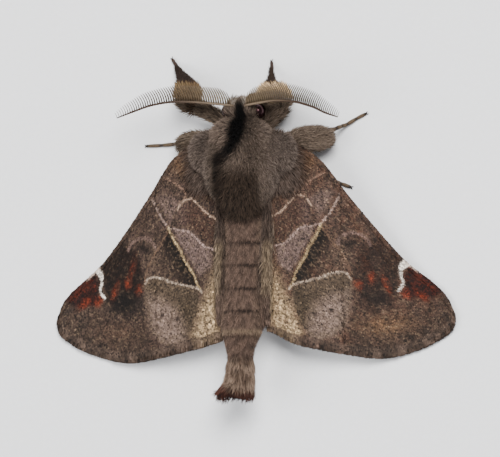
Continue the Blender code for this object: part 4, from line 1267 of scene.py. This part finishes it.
# %% Grow the fur
in_front = Y < -5.0
COATS = (("chest_fur", on_chest & in_front, (380, 41, 1.5, 0.8, 0.35)),
         ("back_fur", on_chest & ~in_front, (350, 47, 1.2, 0.7, 0.35)),
         ("head_fur", on_head, (300, 42, 0.7, 0.35, 0.3)),
         ("abdomen_fur", is_belly, (235, 43, 0.45, 0.32, 0.3)),
         ("flank_fur", is_flank, (200, 48, 0.25, 0.3, 0.35)),
         ("tail_fur", is_tail, (270, 44, 0.3, 0.2, 0.3)),
         ("leg_fur", is_leg, (215, 45, 0.42, 0.3, 0.3)),
         ("palp_fur", is_palp, (300, 46, 0.5, 0.15, 0.3)))
coats = []
for name, where, numbers in COATS:
    note(body.data, "dense", where * cover)
    coats.append(grow(body, name, hair, *numbers, fur_finish))
piece(body, ["thorax", "head", "abdomen", "tail_tuft", "palp_left", "palp_right", *FURRY_LEGS])
for coat in coats:
    piece(coat, smooth=False)

# %% [markdown]
# ## Eyes
# A moth's eye is a dark ball of thousands of lenses. At this size they show only as a soft grain in a wet
# gloss, so the ball stays smooth and a tiny cell pattern in the bump breaks its highlight. The tint of the
# gloss gives the eye its pink glint.

# %% Eyes
EYE_PLACE = (1.12, -8.55, 2.95)
EYE_HALF = (0.52, 0.58, 0.58)
EYE_CELLS = 22000
EYE_DENT = 0.02 * MM

eye_finish, tree, shader = new_finish("eye_finish")
place = add_node(tree, "ShaderNodeTexCoord").outputs["Object"]
cells = add_node(tree, "ShaderNodeTexVoronoi", {"Scale": EYE_CELLS, "Vector": place}).outputs["Distance"]
depth = add_node(tree, "ShaderNodeValToRGB", {"Fac": cells})
for element, picked in zip(depth.color_ramp.elements, ((16, 5, 6), (9, 4, 5))):
    element.color = (*paint(*picked), 1)
dent = add_node(tree, "ShaderNodeBump", {"Strength": 0.12, "Distance": EYE_DENT, "Height": cells})
feed(tree, shader, {"Base Color": depth.outputs["Color"], "Normal": dent.outputs["Normal"], "Roughness": 0.2,
                    "Specular IOR Level": 0.5, "Specular Tint": (*paint(255, 190, 195), 1)})
for side, word in ((1, "left"), (-1, "right")):
    globe = ball((EYE_PLACE[0] * side, *EYE_PLACE[1:]), EYE_HALF, 5)
    piece(shaped("eye_ball_" + word, globe, eye_finish), ["eye_" + word])

# %% [markdown]
# ## Combed feelers
# A male's feeler is a thin shaft with two rows of fine side branches that get shorter towards the tip. The
# shaft is a tapered tube with a swelling at each of its joints. A small node tree follows the same line,
# measures out the joints and sets a branch on each, so their number is one value.

# %% The comb tree
def comb_tree():
    tree, given = new_group(
        "comb_along_line", "GeometryNodeTree",
        (("Line", "Geometry"), ("Branch", "Object"), ("Count", "Int"), ("Finish", "Material")),
        (("Comb", "Geometry"),))
    curve = add_node(tree, "GeometryNodeMeshToCurve", {"Mesh": given["Line"]}).outputs["Curve"]
    even = add_node(tree, "GeometryNodeResampleCurve", {"Curve": curve, "Count": given["Count"]})
    curve = even.outputs["Curve"]
    points = add_node(tree, "GeometryNodeCurveToPoints", {"Curve": curve}, mode="EVALUATED").outputs["Points"]
    turn = turned(tree, noted_in(tree, "aim"), noted_in(tree, "bow"))
    comb = set_forms(tree, points, given["Branch"], turn, noted_in(tree, "size"))
    hand_out(tree, "Comb", comb, given["Finish"])
    return tree


combing = comb_tree()
branch_form = tuft_form("branch_form", half_width=0.056, flatness=1.0, curl=0.3,
                        rings=((0.0, 1.0), (0.3, 0.9), (0.6, 0.7), (0.85, 0.5)))
print("comb tree with", len(combing.nodes), "nodes")

# %% [markdown]
# ## Shafts and combs
# Each feeler is one smooth line over the head. The shaft is thick at its root and thins outwards, and the
# combs start a little way out. Every branch points forward, leans along the shaft and bows towards its
# root.

# %% Build the feelers
FEELERS = {"left": ((0.4, -8.8, 3.4), (0.62, -8.95, 4.2), (1.9, -9.1, 4.55), (3.3, -9.2, 4.75),
                    (4.8, -9.2, 4.9), (6.3, -8.95, 5.1), (7.6, -8.5, 5.3), (8.75, -8.05, 5.5)),
           "right": ((-0.4, -8.8, 3.4), (-0.62, -8.95, 4.2), (-1.8, -9.15, 4.55), (-3.1, -9.3, 4.75),
                     (-4.5, -9.2, 4.9), (-5.9, -8.85, 5.1), (-7.0, -8.4, 5.3), (-8.0, -8.1, 5.5))}
JOINTS = 50
SHAFT_SIDES = 10
SHAFT_THICK = ((0.0, 0.16), (0.06, 0.15), (0.12, 0.1), (0.5, 0.085), (0.85, 0.075), (1.0, 0.04))
SWELLING = 0.12
COMB_FROM = 0.13
COMB_LEAN = 0.42
BRANCH_LENGTH = ((0.0, 1.1), (0.06, 1.4), (0.35, 1.4), (0.7, 1.1), (0.9, 0.75), (1.0, 0.45))


def feeler_shaft(word, rows):
    share = np.linspace(0, 1, len(rows))
    beads = SWELLING * np.sin(share * JOINTS * math.tau) * soft(share, 0.1, 0.15)
    thick = np.interp(share, *zip(*SHAFT_THICK)) * (1 + beads)
    shape = tube(np.column_stack([rows, thick]), SHAFT_SIDES, len(rows) - 1)
    shaft = shaped("feeler_shaft_" + word, shape, horn_finish)
    colour = layered(plain((146, 132, 116), len(rows)), ((100, 84, 72), soft(share, 0.25, 0.6)))
    note(shaft.data, "tone", pigment(np.repeat(colour, SHAFT_SIDES, axis=0)))
    piece(shaft, ["antenna_" + word])


def feeler_comb(name, teeth, lift):
    """A row of branches on the line of the teeth; lift says how far they point up."""
    share = np.linspace(0, 1, len(teeth))
    run = np.gradient(teeth, axis=0)
    run /= np.linalg.norm(run, axis=1, keepdims=True)
    path = bpy.data.meshes.new("path")
    path.from_pydata([tuple(p) for p in teeth], [(k, k + 1) for k in range(len(teeth) - 1)], [])
    aim = np.array((-0.34 * lift, -1.0, lift)) + COMB_LEAN * run
    note(path, "aim", aim / np.linalg.norm(aim, axis=1, keepdims=True))
    note(path, "bow", -run)
    note(path, "size", np.interp(share, *zip(*BRANCH_LENGTH)))
    colour = layered(plain((150, 136, 117), len(teeth)), ((116, 102, 88), soft(share, 0.1, 0.6)))
    note(path, "tone", pigment(colour))
    comb = linked(name, path)
    comb.data = run_tree(comb, combing, {"Branch": branch_form, "Count": JOINTS, "Finish": horn_finish})
    piece(comb)


for word, line in FEELERS.items():
    rows = through(line, 4 * JOINTS)
    feeler_shaft(word, rows)
    teeth = rows[np.linspace(0, 1, len(rows)) > COMB_FROM]
    for row, lift in (("upper", 0.5), ("lower", -0.2)):
        feeler_comb("feeler_comb_%s_%s" % (row, word), teeth, lift)

# %% [markdown]
# ## Thin feet
# Below the fur each leg ends in a thin foot of five joints with two small claws. The joints are swellings
# of one tube, because they hardly bend at rest. Their undersides touch the floor.

# %% Feet and bare shins
FEET = {"shin_fore_left": ((5.75, -11.4, 0.66), (5.95, -11.7, 0.42), (6.15, -11.95, 0.2), (6.4, -12.3, 0.13)),
        "shin_fore_right": ((-1.3, -11.3, 0.62), (-1.25, -11.5, 0.42), (-1.2, -11.8, 0.2),
                            (-1.15, -12.1, 0.13)),
        "shin_mid_left": ((4.8, -6.45, 1.25), (5.35, -6.45, 1.1), (5.75, -6.35, 0.7), (6.2, -6.2, 0.3),
                          (7.2, -6.1, 0.15), (8.35, -6.05, 0.13)),
        "shin_mid_right": ((-5.7, -6.95, 1.5), (-6.4, -7.3, 1.1), (-6.65, -7.45, 0.7), (-6.95, -7.6, 0.3),
                           (-7.6, -8.0, 0.15), (-8.3, -8.35, 0.13)),
        "shin_hind_left": ((4.5, -3.4, 0.75), (5.0, -3.25, 0.7), (5.4, -3.1, 0.42), (5.9, -2.9, 0.17),
                           (6.6, -2.7, 0.13)),
        "shin_hind_right": ((-4.9, -3.8, 0.75), (-5.4, -3.75, 0.68), (-5.8, -3.6, 0.42), (-6.3, -3.4, 0.17),
                            (-7.15, -3.1, 0.13))}
FOOT_JOINTS = 5
FOOT_STEPS = 60
FOOT_SIDES = 12
CLAW_SPREAD = 0.5
# Along, up and radius of a claw's rows, from its root to its tip.
CLAW = ((0.0, 0.0, 0.05), (0.12, 0.02, 0.035), (0.22, -0.08, 0.012))
CLAW_HORN = (60, 40, 30)


def claw_form(rows, turn):
    """One claw at the end of a foot's line, turned to its side."""
    run = Vector(rows[-1] - rows[-4]).normalized()
    way = Matrix.Rotation(turn, 3, "Z") @ run
    line = [(*(Vector(rows[-1]) + way * along + Vector((0, 0, lift))), thick) for along, lift, thick in CLAW]
    return tube(line, 6, 6)


for name, line in FEET.items():
    rows = through(line, FOOT_STEPS)
    share = np.linspace(0, 1, len(rows))
    thick = 0.15 - 0.05 * share + 0.025 * np.abs(np.sin(share * math.pi * FOOT_JOINTS))
    claws = [claw_form(rows, turn) for turn in (-CLAW_SPREAD, CLAW_SPREAD)]
    shape = joined([tube(np.column_stack([rows, thick]), FOOT_SIDES, FOOT_STEPS), *claws])
    foot = shaped(name.replace("shin", "foot"), shape, horn_finish)
    pale, dark = ((98, 80, 68), (72, 57, 50)) if "fore" in name else ((124, 109, 92), (84, 72, 61))
    colour = layered(plain(pale, len(rows)), (dark, soft(np.cos(share * math.tau * FOOT_JOINTS), 0.3, 0.9)))
    horn = plain(CLAW_HORN, sum(len(verts) for verts, _ in claws))
    note(foot.data, "tone", pigment(np.vstack([np.repeat(colour, FOOT_SIDES, axis=0), horn])))
    piece(foot, [name] if name not in FURRY_LEGS else [])

# %% [markdown]
# ## Floor and light
# A plain pale floor and soft studio light show the moth as in a light tent. Two large lamps give gentle
# shadows, the stronger one from the picture's upper right, and a pale surround fills them.

# %% Floor, lamps and surround
FLOOR_HALF = 0.5
LAMPS = (("key_lamp", (-0.16, -0.2, 0.42), 0.22, 4.2), ("fill_lamp", (0.26, 0.06, 0.38), 0.35, 1.8))

corners = [(x * FLOOR_HALF, y * FLOOR_HALF, 0) for x, y in ((-1, -1), (1, -1), (1, 1), (-1, 1))]
floor_finish, tree, shader = new_finish("floor_finish")
place = add_node(tree, "ShaderNodeTexCoord").outputs["Object"]
paper = add_node(tree, "ShaderNodeTexNoise", {"Scale": 3000, "Vector": place}).outputs["Fac"]
pulp = add_node(tree, "ShaderNodeValToRGB", {"Fac": paper})
for element, picked in zip(pulp.color_ramp.elements, ((242, 242, 242), (250, 250, 251))):
    element.color = (*paint(*picked), 1)
feed(tree, shader, {"Base Color": pulp.outputs["Color"], "Roughness": 0.9})
floor = shaped("floor", (corners, [(0, 1, 2, 3)]), floor_finish)

for name, place, width, power in LAMPS:
    lamp_data = bpy.data.lights.new(name, "AREA")
    lamp_data.size = width
    lamp_data.energy = power
    lamp = linked(name, lamp_data)
    lamp.location = place
    lamp.rotation_euler = (-Vector(place)).to_track_quat("-Z", "Y").to_euler()
world = bpy.data.worlds.new("surround")
bpy.context.scene.world = world
world.use_nodes = True
surround = world.node_tree.nodes["Background"]
surround.inputs["Color"].default_value = (0.9, 0.93, 1.0, 1)
surround.inputs["Strength"].default_value = 0.35
print("lamps", [name for name, *_ in LAMPS])

# %% [markdown]
# ## Close the lesson
# The small forms that were scattered have done their work and go, and the triangles of all pieces are added
# up.

# %% Finish
for form in (hair, wing_scale, branch_form):
    bpy.data.objects.remove(form)
print("triangles in all", sum(count for _, count in made_pieces))
